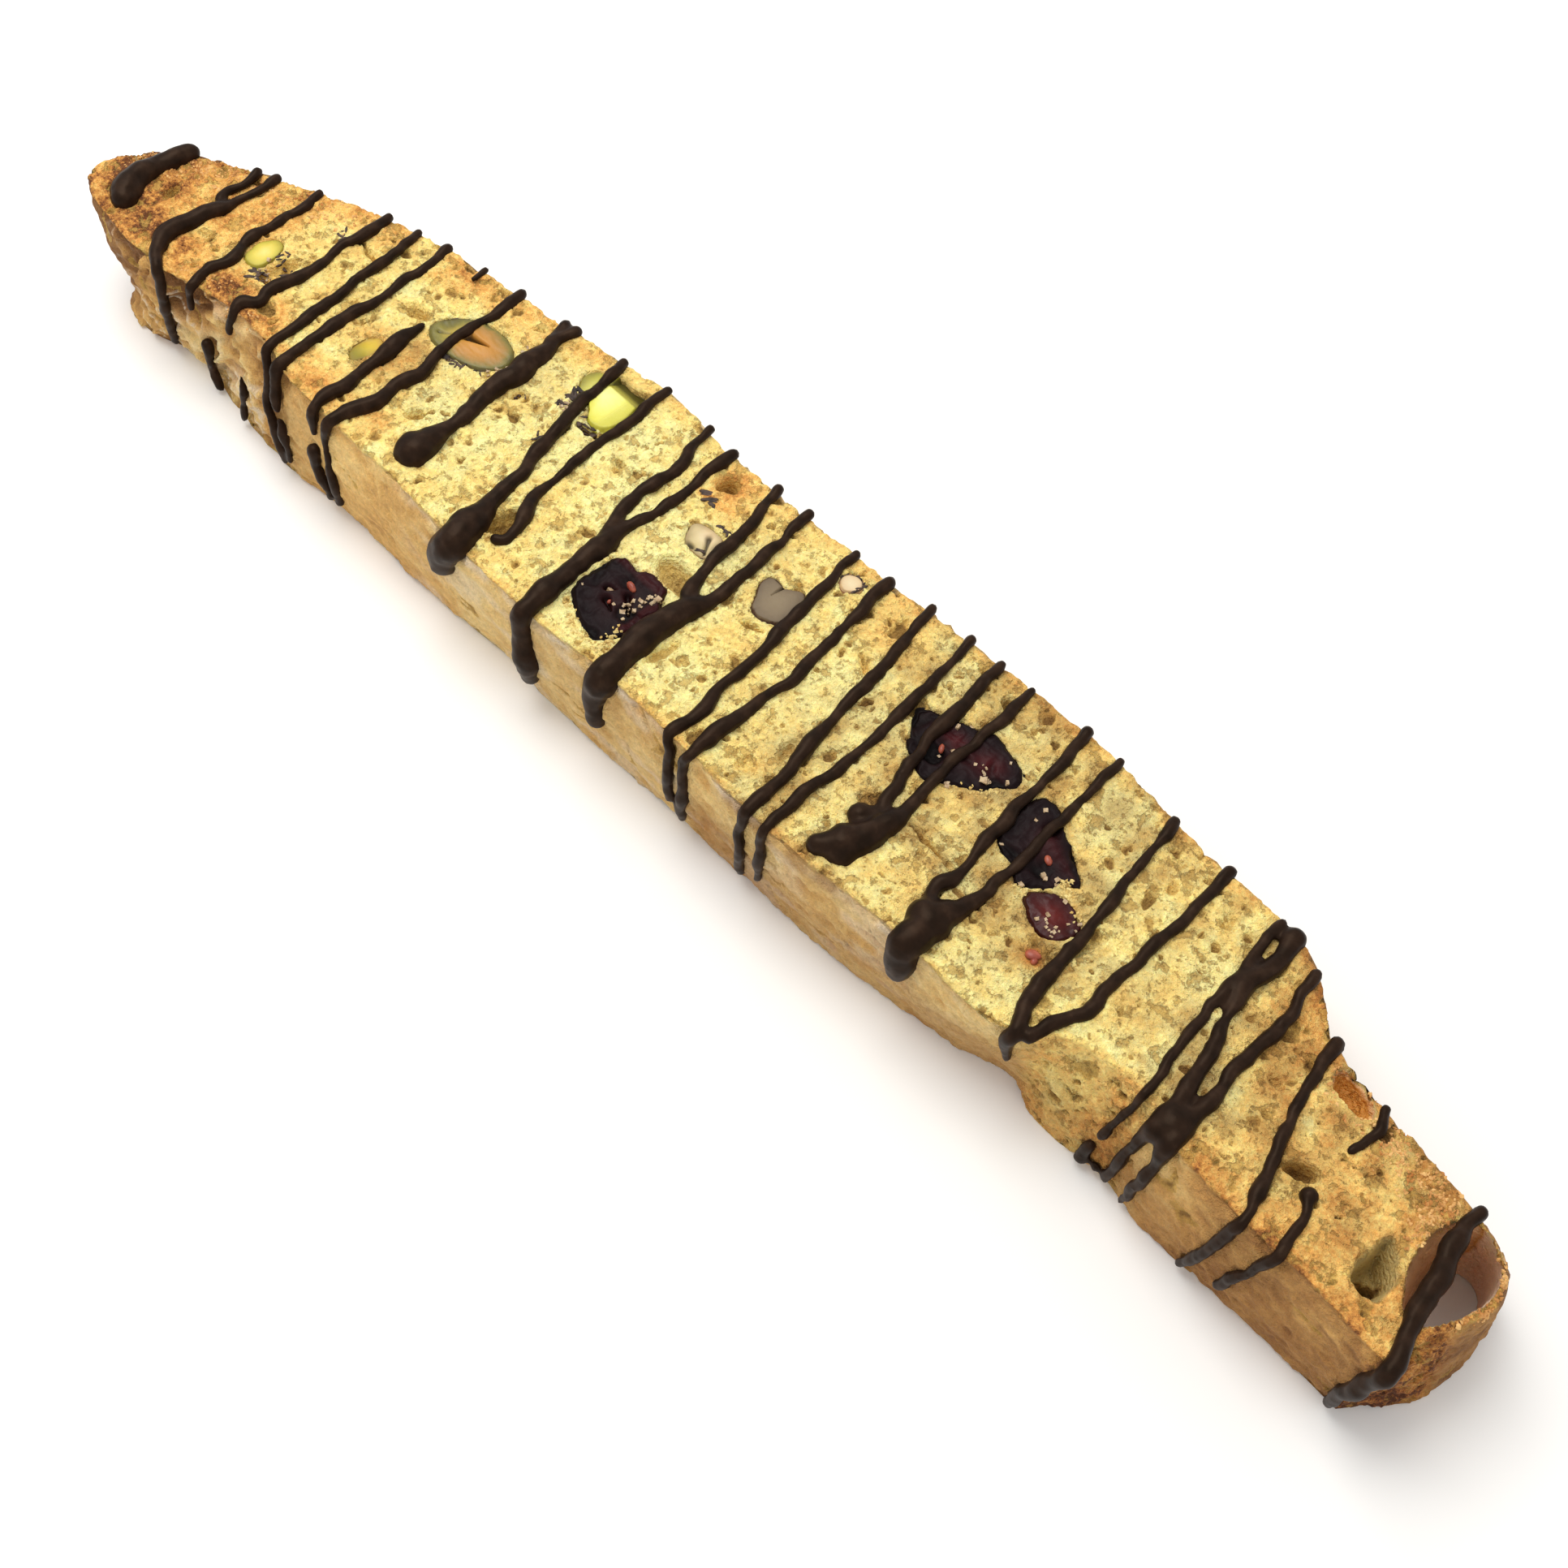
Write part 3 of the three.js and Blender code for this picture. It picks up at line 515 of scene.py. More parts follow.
# %% Places of the nuts and berries
INCLUSIONS = {
    # depth, then places round the rim
    "pistachio_1": (2.4, [(21.4, 8.6), (21.6, 10.8), (22.4, 11.8), (23.4, 11.7), (24.2, 10.6), (24.4, 9.0),
                          (24.1, 7.4), (23.1, 6.9), (21.9, 7.2)]),
    "pistachio_2": (2.2, [(39.9, 9.0), (40.3, 10.7), (41.0, 11.4), (41.8, 11.1), (42.2, 9.6), (42.0, 7.8),
                          (41.4, 6.8), (40.5, 7.1)]),
    "pistachio_3": (4.2, [(43.0, 16.5), (43.9, 19.0), (45.6, 20.6), (48.0, 21.3), (50.8, 21.3),
                          (52.6, 20.5), (53.5, 19.0), (53.1, 17.5), (51.6, 16.0), (49.3, 15.1),
                          (46.8, 14.8), (44.4, 15.1)]),
    "pistachio_4": (3.6, [(59.5, 24.4), (60.1, 25.8), (61.2, 26.3), (62.4, 27.3), (64.5, 27.2),
                          (66.6, 27.4), (67.2, 25.0), (67.1, 20.8), (66.2, 20.1), (64.7, 20.1),
                          (63.7, 21.2), (62.2, 22.4), (60.9, 22.2), (60.0, 23.0)]),
    "cranberry_1": (4.2, [(80.4, 11.0), (83.0, 11.1), (83.9, 12.0), (86.6, 11.7), (87.5, 10.4),
                          (88.4, 9.2), (88.5, 7.0), (88.2, 4.8), (87.3, 3.4), (86.4, 2.0), (84.6, 2.2),
                          (82.4, 3.0), (80.6, 4.0), (79.7, 5.6), (79.7, 8.0)]),
    "cranberry_2": (4.4, [(113.8, 19.8), (114.3, 21.1), (115.8, 21.7), (117.4, 22.4), (119.5, 23.2),
                          (121.4, 24.0), (123.4, 23.5), (125.2, 23.1), (126.5, 22.0), (126.7, 20.7),
                          (125.4, 19.6), (124.9, 18.2), (123.6, 17.2), (121.8, 16.2), (120.6, 15.0),
                          (119.0, 14.8), (117.5, 15.6), (116.1, 16.2), (115.2, 17.6)]),
    "cranberry_3": (4.0, [(128.8, 21.9), (131.0, 22.5), (133.0, 20.9), (135.0, 20.0), (137.0, 18.6),
                          (138.4, 17.1), (136.8, 16.7), (136.7, 15.7), (135.5, 14.2), (133.6, 13.1),
                          (132.4, 14.3), (130.2, 14.7), (128.8, 15.7), (128.5, 18.0)]),
    "cranberry_4": (3.0, [(135.2, 13.1), (136.4, 14.9), (138.2, 15.5), (140.2, 14.9), (141.4, 14.1),
                          (141.2, 12.6), (140.4, 11.2), (139.1, 10.7), (137.6, 11.1), (136.2, 12.0)]),
    "pecan_1": (2.6, [(82.2, 19.5), (83.3, 20.2), (84.8, 20.3), (86.1, 20.1), (86.4, 18.8), (86.9, 17.2),
                      (85.6, 16.7), (84.3, 16.8), (83.1, 17.2), (82.5, 18.2)]),
    "pecan_2": (3.2, [(92.2, 20.2), (93.0, 20.9), (94.4, 20.7), (95.3, 21.2), (96.4, 21.8), (97.6, 20.4),
                      (97.8, 18.2), (97.3, 16.9), (96.2, 16.3), (94.9, 16.0), (93.9, 16.4), (93.1, 17.8)]),
    "pecan_3": (1.8, [(97.2, 26.4), (98.0, 27.3), (99.4, 27.3), (100.0, 26.4), (99.5, 25.3), (98.5, 24.8),
                      (97.6, 25.2)]),
}


def middle_of(rim):
    return np.mean(rim, axis=0)


def reach(rim, turns):
    """How far a smooth closed line through the rim's places is from its middle, at each angle."""
    rim = np.array(rim) - middle_of(rim)
    angles, radii = np.arctan2(rim[:, 1], rim[:, 0]), np.hypot(rim[:, 0], rim[:, 1])
    order = np.argsort(angles)
    angles, radii = angles[order], radii[order]
    looped = [(a + lap, r) for lap in (-2 * np.pi, 0, 2 * np.pi) for a, r in zip(angles, radii)]
    return through(looped)(turns)


def pocket(points, depth, rim):
    middle = middle_of(rim)
    dx, dy = points[:, 0] - middle[0], points[:, 1] - middle[1]
    rho = np.hypot(dx, dy) / (reach(rim, np.arctan2(dy, dx)) + GAP)
    return (depth + 0.6) * smooth((1 - rho) / 0.14) * (1 - 0.5 * np.minimum(rho, 1) ** 4)


print(len(INCLUSIONS), "nuts and berries")

# %% [markdown]
# ## The crumb and the crust
# On the cut faces the crumb is torn open: soft swells, a grain like coarse sand, and craters of all
# sizes. The crust is the loaf's dried skin, so it is smoother, and it creases along the loaf. Where
# a piece broke out of the base, the wall is open crumb too. One pass over all the points works out
# each of these depths and moves the point in or out along its normal.

# %% Work the skin
points, out = coords(slice_body), normals(slice_body)
px, py, pz = points.T
depth = THICK - pz
upper = smooth(out[:, 2], 0.45, 0.8) * smooth(pz, 12.4, 13.2)
lower = smooth(-out[:, 2], 0.5, 0.85) * (1 - smooth(pz, 0.5, 1.5))
towards_bubble = (186.3 - px) * out[:, 0] + (14.0 - py) * out[:, 1]
in_bubble = smooth(px, 181.2, 182.4) * (1 - upper) * (1 - lower) * (towards_bubble > 0)
in_bubble = in_bubble * (np.hypot((px - 186.3) / 4.9, (py - 14.2) / 7.6) < 1)
chip = smooth(px, 144, 147) * (1 - smooth(px, 157, 160)) * (py < 9) * (1 - lower)
chip = np.maximum(chip, smooth(px, 184.5, 186.5) * (1 - smooth(py, 8, 11)) * (1 - lower) * (1 - in_bubble))
broken = np.clip(upper + lower + chip, 0, 1)
wall = (1 - broken) * (1 - in_bubble)

wander = np.stack([noise(points / 1.5, 13), noise(points / 1.5, 14), noise(points / 1.5, 15)], axis=1)
shreds = np.stack([noise(points / 0.7, 25), noise(points / 0.7, 26), noise(points / 0.7, 27)], axis=1)
torn = points + 0.5 * wander + 0.32 * shreds
wide = 0.5 * bubbles(torn, out, 4.2, (0.14, 0.33), 0.4, 11)
middling = 0.65 * bubbles(torn, out, 2.3, (0.14, 0.36), 0.5, 21)
tiny = 0.9 * bubbles(torn, out, 1.3, (0.22, 0.42), 0.6, 41)
craters = np.maximum(wide, np.maximum(middling, tiny))
webs = 1 - 2 * np.abs(noise(torn / 0.9, 16))
grain = 0.16 * noise(points / 1.4, 3) + 0.13 * webs + 0.12 * noise(points / 0.55, 5)
swells = 0.22 * noise(points / 4.0, 6)
crumb_move = swells + grain - 0.95 * craters

creases = np.stack([px / 6 + pz / 9, py / 6, pz / 2.1], axis=1)
flakes = np.stack([px / 2.2 + pz / 3.5, py / 2.2, pz / 1.3], axis=1) + 0.4 * wander
cracks = np.stack([px / 6 + pz / 8, py / 6, pz / 2.8], axis=1)
folds = np.stack([px / 2.6 - pz / 4.5, py / 4, pz / 5.5], axis=1) + 0.3 * wander
torn_crust = smooth(px, 5, 11) * (1 - smooth(px, 34, 42))
flaky = 0.5 + 0.9 * torn_crust + 0.35 * smooth(px, 80, 110) * (1 - smooth(px, 140, 150))
crest = 1 - 2.4 * np.abs(noise(flakes, 8))
split = np.exp(-((noise(cracks, 17) / 0.06) ** 2)) * smooth(noise(points / 5, 18), 0.1, 0.5)
wall_move = (
    0.24 * noise(creases, 7)
    + (0.16 + 0.1 * torn_crust) * flaky * (crest - 0.4)
    - 1.0 * torn_crust * smooth(np.abs(noise(folds, 20)), 0.15, 0.5)
    + (0.12 + 0.16 * torn_crust) * noise(points / 0.9, 19)
    + 0.12 * noise(points / 0.5, 9)
    - 0.2 * split
    - (0.35 + 0.6 * smooth(px, 158, 168)) * bubbles(torn, out, 2.2, (0.05, 0.24), 0.55, 51)
)
rim = smooth(depth, -0.6, 0.3) * (1 - smooth(depth, 0.6, 1.8)) * (1 - upper)
crumbly_rim = -0.45 * rim * np.clip(noise(points / 1.1, 10) + 0.3, 0, 1)
bubble_move = 0.12 * noise(points / 2.4, 12)

sink = np.zeros(len(points))
for spec in PITS:
    sink = np.maximum(sink, bowl(points, *spec))
pockets = np.zeros(len(points))
for spec in INCLUSIONS.values():
    pockets = np.maximum(pockets, pocket(points, *spec))
tear = tear_bowl(points)
hollow = upper * np.maximum(np.maximum(sink, pockets), tear)
calm = 1 - smooth(hollow, 0.15, 0.9)

move = upper * crumb_move * calm + 0.7 * lower * crumb_move + chip * (1 - upper) * (1.3 * crumb_move - 0.2)
move += wall * wall_move + crumbly_rim + in_bubble * bubble_move
moved = points + out * move[:, None]
moved[:, 2] -= hollow
moved[:, 2] = np.clip(moved[:, 2], 0.02, None)
reshape(slice_body, moved)
print("craters open on", round(float((craters[upper > 0.9] > 0.05).mean() * 100)), "% of the cut face")

# %% [markdown]
# ## Where the oven browned it, and painted shade
# Colour follows the heat. The toe was nearest the oven's wall, the crust lines stand proud, and the
# second baking caught a few patches along the front. The numbers painted here are read by the
# material: `toast` for the crumb's browning and `bake` for the crust's, `crust` for the loaf's skin,
# one for hollows and cracks that is the bubbles' olive skin and a painted shade deepening with them,
# `flour` for the pale dust left by the work table, one for the skin of a baked bubble that also holds
# a painted light in the heel bubble, and a painted shade where less light reaches the slice.

# %% Paint the bake
SCORCH = [
    # place, half sizes, strength
    ((19.0, 2.6), (6.0, 2.4), 0.30),
    ((25.0, 3.0), (4.0, 2.2), 0.40),
    ((31.5, 2.8), (4.0, 2.4), 0.55),
    ((40.5, 2.4), (3.6, 2.4), 0.38),
    ((44.0, 9.5), (3.0, 3.5), 0.14),
    ((11.0, 2.2), (6.0, 2.8), 0.40),
    ((188.5, 6.0), (2.6, 3.6), 0.25),
    ((1.0, 6.0), (3.0, 5.0), 0.25),
    ((17.0, 14.0), (4.0, 3.0), 0.16),
    ((44.0, 23.5), (8.0, 2.0), 0.12),
    ((50.0, 3.2), (4.5, 2.6), 0.26),
    ((82.5, 24.0), (4.5, 3.0), 0.16),
    ((106.0, 25.0), (5.0, 2.6), 0.12),
    ((161.5, 23.5), (4.5, 3.6), 0.16),
    ((187.5, 8.0), (4.0, 9.0), 0.22),
    ((178.0, 16.0), (5.0, 2.6), 0.12),
    ((8.2, 7.4), (1.4, 1.8), 0.35),
    ((140.2, 8.6), (0.9, 0.8), 0.75),
    ((81.0, 25.6), (1.8, 1.6), 0.55),
    ((81.0, 22.8), (1.5, 0.5), 0.80),
]
to_back = back_y(px, depth) - py
to_front = py - front_y(px, depth)
blotch = noise(points / 5.0, 61)
speck = noise(points / 1.2, 62)
toast = 0.07 + 0.16 * (1 - smooth(px, 4, 12)) + 0.20 * (1 - smooth(px, 12, 26)) + 0.12 * (1 - smooth(px, 18, 58))
toast += 0.15 * smooth(px, 152, 166) + 0.06 * smooth(px, 172, 184) + 0.10 * smooth(px, 184, 187)
toast += (0.21 + 0.02 * (1 - smooth(px, 40, 80))) * np.exp(-((to_back / (1.8 + 2.4 * (1 - smooth(px, 30, 75)))) ** 2))
toast -= 0.04 * smooth(px, 160, 166) * np.exp(-((to_back / 4.0) ** 2))
toast += 0.14 * smooth(px, 156, 164) * np.exp(-((to_front / 1.5) ** 2))
toast += 0.17 * np.exp(-((to_front / 0.9) ** 2))
for (cx, cy), (rx, ry), strength in SCORCH:
    toast += strength * np.exp(-(((px - cx) / rx) ** 2) - ((py - cy) / ry) ** 2)
clump = noise(points / 2.1, 68)
toast = toast * (1 + 0.35 * blotch + 0.45 * clump + 0.35 * speck) + 0.05 * blotch

# The crust is painted lighter on the crests of its flakes and darker down its folds, and a little darker low on the
# front wall.
bake = 0.36 + 0.12 * blotch + 0.06 * noise(creases * 2, 63) + 0.10 * split - 0.12 * flaky * crest
bake += 0.22 * torn_crust * (clump + 0.3)
bake += 0.34 * torn_crust * smooth(np.abs(noise(folds, 20)), 0.2, 0.6)
bake += 0.42 * (1 - smooth(px, 6, 30)) + 0.16 * (1 - smooth(px, 3, 10)) + 0.16 * (1 - smooth(px, 58, 72))
bake += 0.10 * np.exp(-(((px - 24) / 7) ** 2)) * (to_front < 3) * (1 - smooth(depth, 3, 8))
bake += 0.34 * smooth(px, 156, 172) + 0.16 * smooth(px, 184, 190)
bake -= 0.06 * np.exp(-(((px - 84) / 14) ** 2)) * (to_front < 3) * (1 - smooth(depth, 3, 8))
bake += 0.08 * smooth(depth, 6, 14) * (to_front < 3)
bake -= 0.36 * smooth(px, 5, 11) * (1 - smooth(px, 30, 36)) * smooth(depth, 3, 8) * (to_front < 3)
bake += 0.16 * (to_back < 3) * (1 - 0.4 * smooth(depth, 1, 6))
flour = (0.3 * smooth(px, 16, 20) * (1 - smooth(px, 28, 34)) + 0.35 * smooth(px, 58, 64) * (1 - smooth(px, 128, 136)))
flour = flour * wall * smooth(noise(creases * 1.4, 64), -0.1, 0.6)
flour = np.maximum(flour, 0.75 * wall * torn_crust * smooth(crest, 0.72, 0.95) * smooth(blotch, -0.4, 0.3))
flour = np.maximum(flour, 0.7 * rim * wall * smooth(px, 55, 62) * (1 - smooth(px, 132, 140)) * smooth(noise(points / 3, 65), -0.2, 0.5))

# Painted shade: crumb and crust are darkened where less light reaches them, over the heel half of the cut face, low on
# the walls, at the chip and between close strands, with less of it near the heel's end.
painted_shade = 0.12 * smooth(px, 96, 104) + 0.42 * smooth(px, 104, 112) * (1 - 0.8 * smooth(px, 120, 126) * (py < 8))
painted_shade += 0.3 * smooth(px, 128, 134) * smooth(py, 5, 8) * (1 - smooth(py, 12, 18)) * (1 - smooth(px, 140, 146))
painted_shade -= 0.24 * smooth(px, 138, 146)
painted_shade += 0.34 * smooth(px, 150, 160)
painted_shade += 0.65 * np.exp(-(((px - 46) / 5) ** 2) - ((py - 11) / 4) ** 2) + 0.1 * (1 - smooth(px, 3, 12))
painted_shade *= 1 - 0.55 * np.exp(-(((px - 173) / 4) ** 2) - ((py - 9) / 3) ** 2) - 0.4 * smooth(px, 183, 186)
painted_shade = np.clip(painted_shade * (1 + 1.4 * noise(points / 1.9, 66)), 0, 0.9) * np.maximum(broken, 1 - smooth(depth, 1, 3))
painted_shade += wall * (0.12 + 0.55 * smooth(depth, 2, 8)) * smooth(px, 100, 112)
painted_shade += wall * (to_front < 3) * (0.22 * smooth(px, 54, 62) + 0.25 * smooth(px, 74, 82) - 0.3 * smooth(px, 98, 104))
for low, high, middle, half, strength in ((4, 8, 106, 4, 0.7), (4, 8, 143, 6, 0.9), (-1, 0, 40, 4, 0.25)):
    painted_shade += wall * (to_front < 3) * smooth(depth, low, high) * strength * np.exp(-(((px - middle) / half) ** 2))
for cx, cy, half, strength in ((56, 20, 4, 0.35), (90, 21, 5, 0.25), (124, 21, 5, 0.55), (136, 10, 4, 0.2), (159, 9, 4, 0.5)):
    painted_shade += upper * strength * np.exp(-(((px - cx) / half) ** 2) - ((py - cy) / half) ** 2)
painted_shade += (0.3 + 0.5 * smooth(depth, 4, 9)) * chip * (1 - upper)
painted_shade += wall * (to_front < 3) * (0.3 * torn_crust + 0.2 * smooth(px, 30, 36) * (1 - smooth(px, 44, 48)))

# A bubble baked with its own skin: olive in the tear and amber at the notch. In the heel its skin is painted lighter
# than its own colour against the shade inside it, and lightest, tan to pink, on its side towards the heel, a painted
# light.
amber = smooth(bowl(points, *PITS[0]) * upper, 0.3, 1.2)
lit_side = smooth(px + 0.5 * noise(points / 1.5, 67), 184.6, 185.8)
slit = smooth(bowl(points, *PITS[-1]), 0.3, 1.5) * upper
tear_skin = smooth(tear, 0.1, 0.5) * upper * (1 - slit)
glaze_and_lit_side = np.maximum(in_bubble * (0.5 + 0.5 * lit_side), np.maximum(0.75 * amber, 0.2 * tear_skin))
# Hollows and cracks turn olive and then dark brown as they deepen: partly the olive skin of the bubbles, partly a
# painted shade. The deep slit by the tear is painted dark as its shadow.
pore_skin_and_shade = 1.5 * craters * broken * calm + 0.4 * hollow * (1 - tear_skin) + 0.8 * wall * split
pore_skin_and_shade = np.maximum(pore_skin_and_shade, 1.4 * slit)

paint(slice_body, "painted_shade", painted_shade)
paint(slice_body, "toast", toast)
paint(slice_body, "bake", bake)
paint(slice_body, "crust", wall)
paint(slice_body, "pore_skin_and_shade", pore_skin_and_shade)
paint(slice_body, "flour", flour)
paint(slice_body, "glaze_and_lit_side", glaze_and_lit_side)
print("mean toast on the cut face:", round(float(toast[upper > 0.9].mean()), 2))

# %% [markdown]
# The skin has far more faces than its smooth walls and hidden side need. A decimate modifier merges
# the least useful ones, and a vertex group keeps it away from the face that is looked at.

# %% Thin the hidden faces
MOST_TRIANGLES = 192000
group = slice_body.vertex_groups.new(name="looked_at")
near_wall = (upper <= 0.5) & (lower < 0.3) & ((to_front < 3) | (px > 183) | (px < 12))
for strength, chosen in ((1.0, upper > 0.5), (0.7, near_wall)):
    group.add([int(i) for i in np.nonzero(chosen)[0]], strength, "REPLACE")
count = sum(len(p.vertices) - 2 for p in slice_body.data.polygons)
print("triangles before thinning:", count)
if count > MOST_TRIANGLES:
    apply_modifier(
        slice_body,
        "DECIMATE",
        ratio=MOST_TRIANGLES / count,
        vertex_group="looked_at",
        invert_vertex_group=True,
        vertex_group_factor=4.0,
    )
slice_body.vertex_groups.clear()
settle(slice_body)


# %% [markdown]
# ## Crumb and crust, the material
# Twice-baked egg crumb: matt and dry, a pale butter yellow inside that turns golden and then brown
# where the heat reached it. Light goes a little way into it, so its shadows are warm. The crust is
# the same dough dried to a beige skin, with a dust of flour. Both are finer than the mesh can show,
# so their grain of about half a millimetre comes from bump.

# %% Crumb material
crumb, tree = new_material("egg_crumb_twice_baked")
place = add_node(tree, "TexCoord").outputs["Object"]
toasted = add_node(tree, "Attribute", attribute_name="toast").outputs["Fac"]
baked = add_node(tree, "Attribute", attribute_name="bake").outputs["Fac"]
crusty = add_node(tree, "Attribute", attribute_name="crust").outputs["Fac"]
pore_skin_and_shade_fac = add_node(tree, "Attribute", attribute_name="pore_skin_and_shade").outputs["Fac"]
floured = add_node(tree, "Attribute", attribute_name="flour").outputs["Fac"]
glaze_and_lit_fac = add_node(tree, "Attribute", attribute_name="glaze_and_lit_side").outputs["Fac"]
painted_shade_fac = add_node(tree, "Attribute", attribute_name="painted_shade").outputs["Fac"]
mottle = add_node(tree, "TexNoise", {"Vector": place, "Scale": per(2.6), "Detail": 5.0, "Roughness": 0.65})
fine = add_node(tree, "TexNoise", {"Vector": place, "Scale": per(0.6), "Detail": 3.0, "Roughness": 0.75})

# Openings too small for the mesh, dented by bump and painted a darker gold as the shade inside them:
# ragged ones where soft noise runs low, and dark specks between.
torn_only = add_node(tree, "Math", {0: 1.0, 1: crusty}, operation="SUBTRACT", use_clamp=True)
shaded_openings = []
for size_mm, detail, widest in ((1.8, 5.0, 0.435), (0.8, 3.0, 0.39)):
    soft = add_node(
        tree, "TexNoise", {"Vector": place, "Scale": per(size_mm), "Detail": detail, "Roughness": 0.62}
    )
    shaded_opening = add_node(
        tree, "MapRange", {"Value": soft.outputs["Fac"], "From Min": widest, "From Max": widest - 0.05}
    )
    shaded_openings.append(
        add_node(tree, "Math", {0: shaded_opening.outputs["Result"], 1: torn_only.outputs["Value"]}, operation="MULTIPLY")
    )

uneven = add_node(tree, "MapRange", {"Value": mottle.outputs["Fac"], "To Min": -0.26, "To Max": 0.26})
freckle = add_node(
    tree,
    "MapRange",
    {"Value": fine.outputs["Fac"], "From Min": 0.3, "From Max": 0.7, "To Min": 0.5, "To Max": 1.5},
)
freckled = add_node(tree, "Math", {0: toasted, 1: freckle.outputs["Result"]}, operation="MULTIPLY")
toast_here = add_node(tree, "Math", {0: freckled.outputs["Value"], 1: uneven.outputs["Result"]}, operation="ADD")
inside = add_node(tree, "ValToRGB", {"Fac": toast_here.outputs["Value"]})
set_ramp(
    inside,
    [(0.0, "#fff2a3"), (0.13, "#ffe086"), (0.34, "#f6c069"), (0.56, "#e2a04f"), (0.8, "#b27438"),
     (1.0, "#70411e")],
)
streak_place = add_node(tree, "Mapping", {"Vector": place, "Rotation": (0, math.radians(18), 0), "Scale": (0.6, 1.0, 1.1)})
streaks = add_node(
    tree, "TexNoise", {"Vector": streak_place, "Scale": per(1.8), "Detail": 7.0, "Roughness": 0.72}
)
streaky = add_node(tree, "MapRange", {"Value": streaks.outputs["Fac"], "To Min": -0.30, "To Max": 0.30})
bake_here = add_node(tree, "Math", {0: baked, 1: streaky.outputs["Result"]}, operation="ADD")
outside = add_node(tree, "ValToRGB", {"Fac": bake_here.outputs["Value"]})
set_ramp(
    outside,
    [(0.0, "#f9e5ae"), (0.3, "#efce88"), (0.55, "#dcae66"), (0.78, "#b6874d"), (1.0, "#885e34")],
)
skin_now = add_node(tree, "Mix", {"Factor": crusty, "A": inside, "B": outside}, data_type="RGBA")
for shaded_opening, depth_share, shade in ((shaded_openings[0], 0.66, "#c9a150"), (shaded_openings[1], 0.55, "#b98f47")):
    share = add_node(tree, "Math", {0: shaded_opening.outputs["Value"], 1: depth_share}, operation="MULTIPLY")
    skin_now = add_node(
        tree, "Mix", {"Factor": share, "A": skin_now, "B": colour(shade)}, data_type="RGBA"
    )
# Where the hollows' number runs high, the colour turns olive and then dark brown: the olive skin of the bubbles, and a
# painted shade in the deeper hollows.
fray = add_node(tree, "TexNoise", {"Vector": place, "Scale": per(0.8), "Detail": 4.0, "Roughness": 0.7})
frayed = add_node(tree, "Math", {0: fray.outputs["Fac"], 1: 1.1, 2: pore_skin_and_shade_fac}, operation="MULTIPLY_ADD")
for (edge, middle), shade in (((0.74, 0.88), "#c9a252"), ((1.05, 1.35), "#8a6630")):
    share = add_node(
        tree,
        "MapRange",
        {"Value": frayed.outputs["Value"], "From Min": edge, "From Max": middle, "To Max": 0.78},
    )
    skin_now = add_node(
        tree, "Mix", {"Factor": share, "A": skin_now, "B": colour(shade)}, data_type="RGBA"
    )
dusted = add_node(
    tree, "Mix", {"Factor": floured, "A": skin_now, "B": colour("#f4e7d0")}, data_type="RGBA"
)
# The painted shade multiplies the colour towards a grey-brown.
shaded = add_node(
    tree,
    "Mix",
    {"Factor": painted_shade_fac, "A": dusted.outputs["Result"], "B": colour("#c4b3a8")},
    data_type="RGBA",
    blend_type="MULTIPLY",
)
grains = add_node(tree, "TexNoise", {"Vector": place, "Scale": per(0.42), "Detail": 2.0, "Roughness": 0.8})

# The crumb is beads about half a millimetre across, each a little lighter or darker than the next.
ruffle = add_node(tree, "TexNoise", {"Vector": place, "Scale": per(0.9), "Detail": 3.0})
ruffled = add_node(
    tree,
    "VectorMath",
    {0: ruffle.outputs["Color"], 1: (0.0007, 0.0007, 0.0007), 2: place},
    operation="MULTIPLY_ADD",
)
beads = add_node(tree, "TexVoronoi", {"Vector": ruffled, "Scale": per(0.62)})
# Each bead is painted lighter in its middle and darker at its edge, a painted shade between the beads; the same values
# give the bump its height.
bead_painted_shade = add_node(
    tree,
    "MapRange",
    {"Value": beads.outputs["Distance"], "From Min": 0.1, "From Max": 0.75, "To Min": 1.1, "To Max": 0.88},
)
bead_tint = add_node(tree, "MapRange", {"Value": beads.outputs["Color"], "To Min": 0.9, "To Max": 1.12})
grain_shade = add_node(
    tree,
    "MapRange",
    {"Value": grains.outputs["Fac"], "From Min": 0.3, "From Max": 0.6, "To Min": 0.94, "To Max": 1.06},
)
bead_shade = add_node(
    tree, "Math", {0: bead_painted_shade.outputs["Result"], 1: bead_tint.outputs["Result"]}, operation="MULTIPLY"
)
crust_grain = add_node(
    tree,
    "MapRange",
    {"Value": fine.outputs["Fac"], "From Min": 0.3, "From Max": 0.7, "To Min": 0.84, "To Max": 1.14},
)
bead_share = add_node(
    tree,
    "MapRange",
    {"Value": crusty, "To Min": bead_shade.outputs["Value"], "To Max": crust_grain.outputs["Result"]},
)
shade_here = add_node(
    tree, "Math", {0: grain_shade.outputs["Result"], 1: bead_share.outputs["Result"]}, operation="MULTIPLY"
)
grainy = add_node(tree, "VectorMath", {0: shaded, "Scale": shade_here}, operation="SCALE")
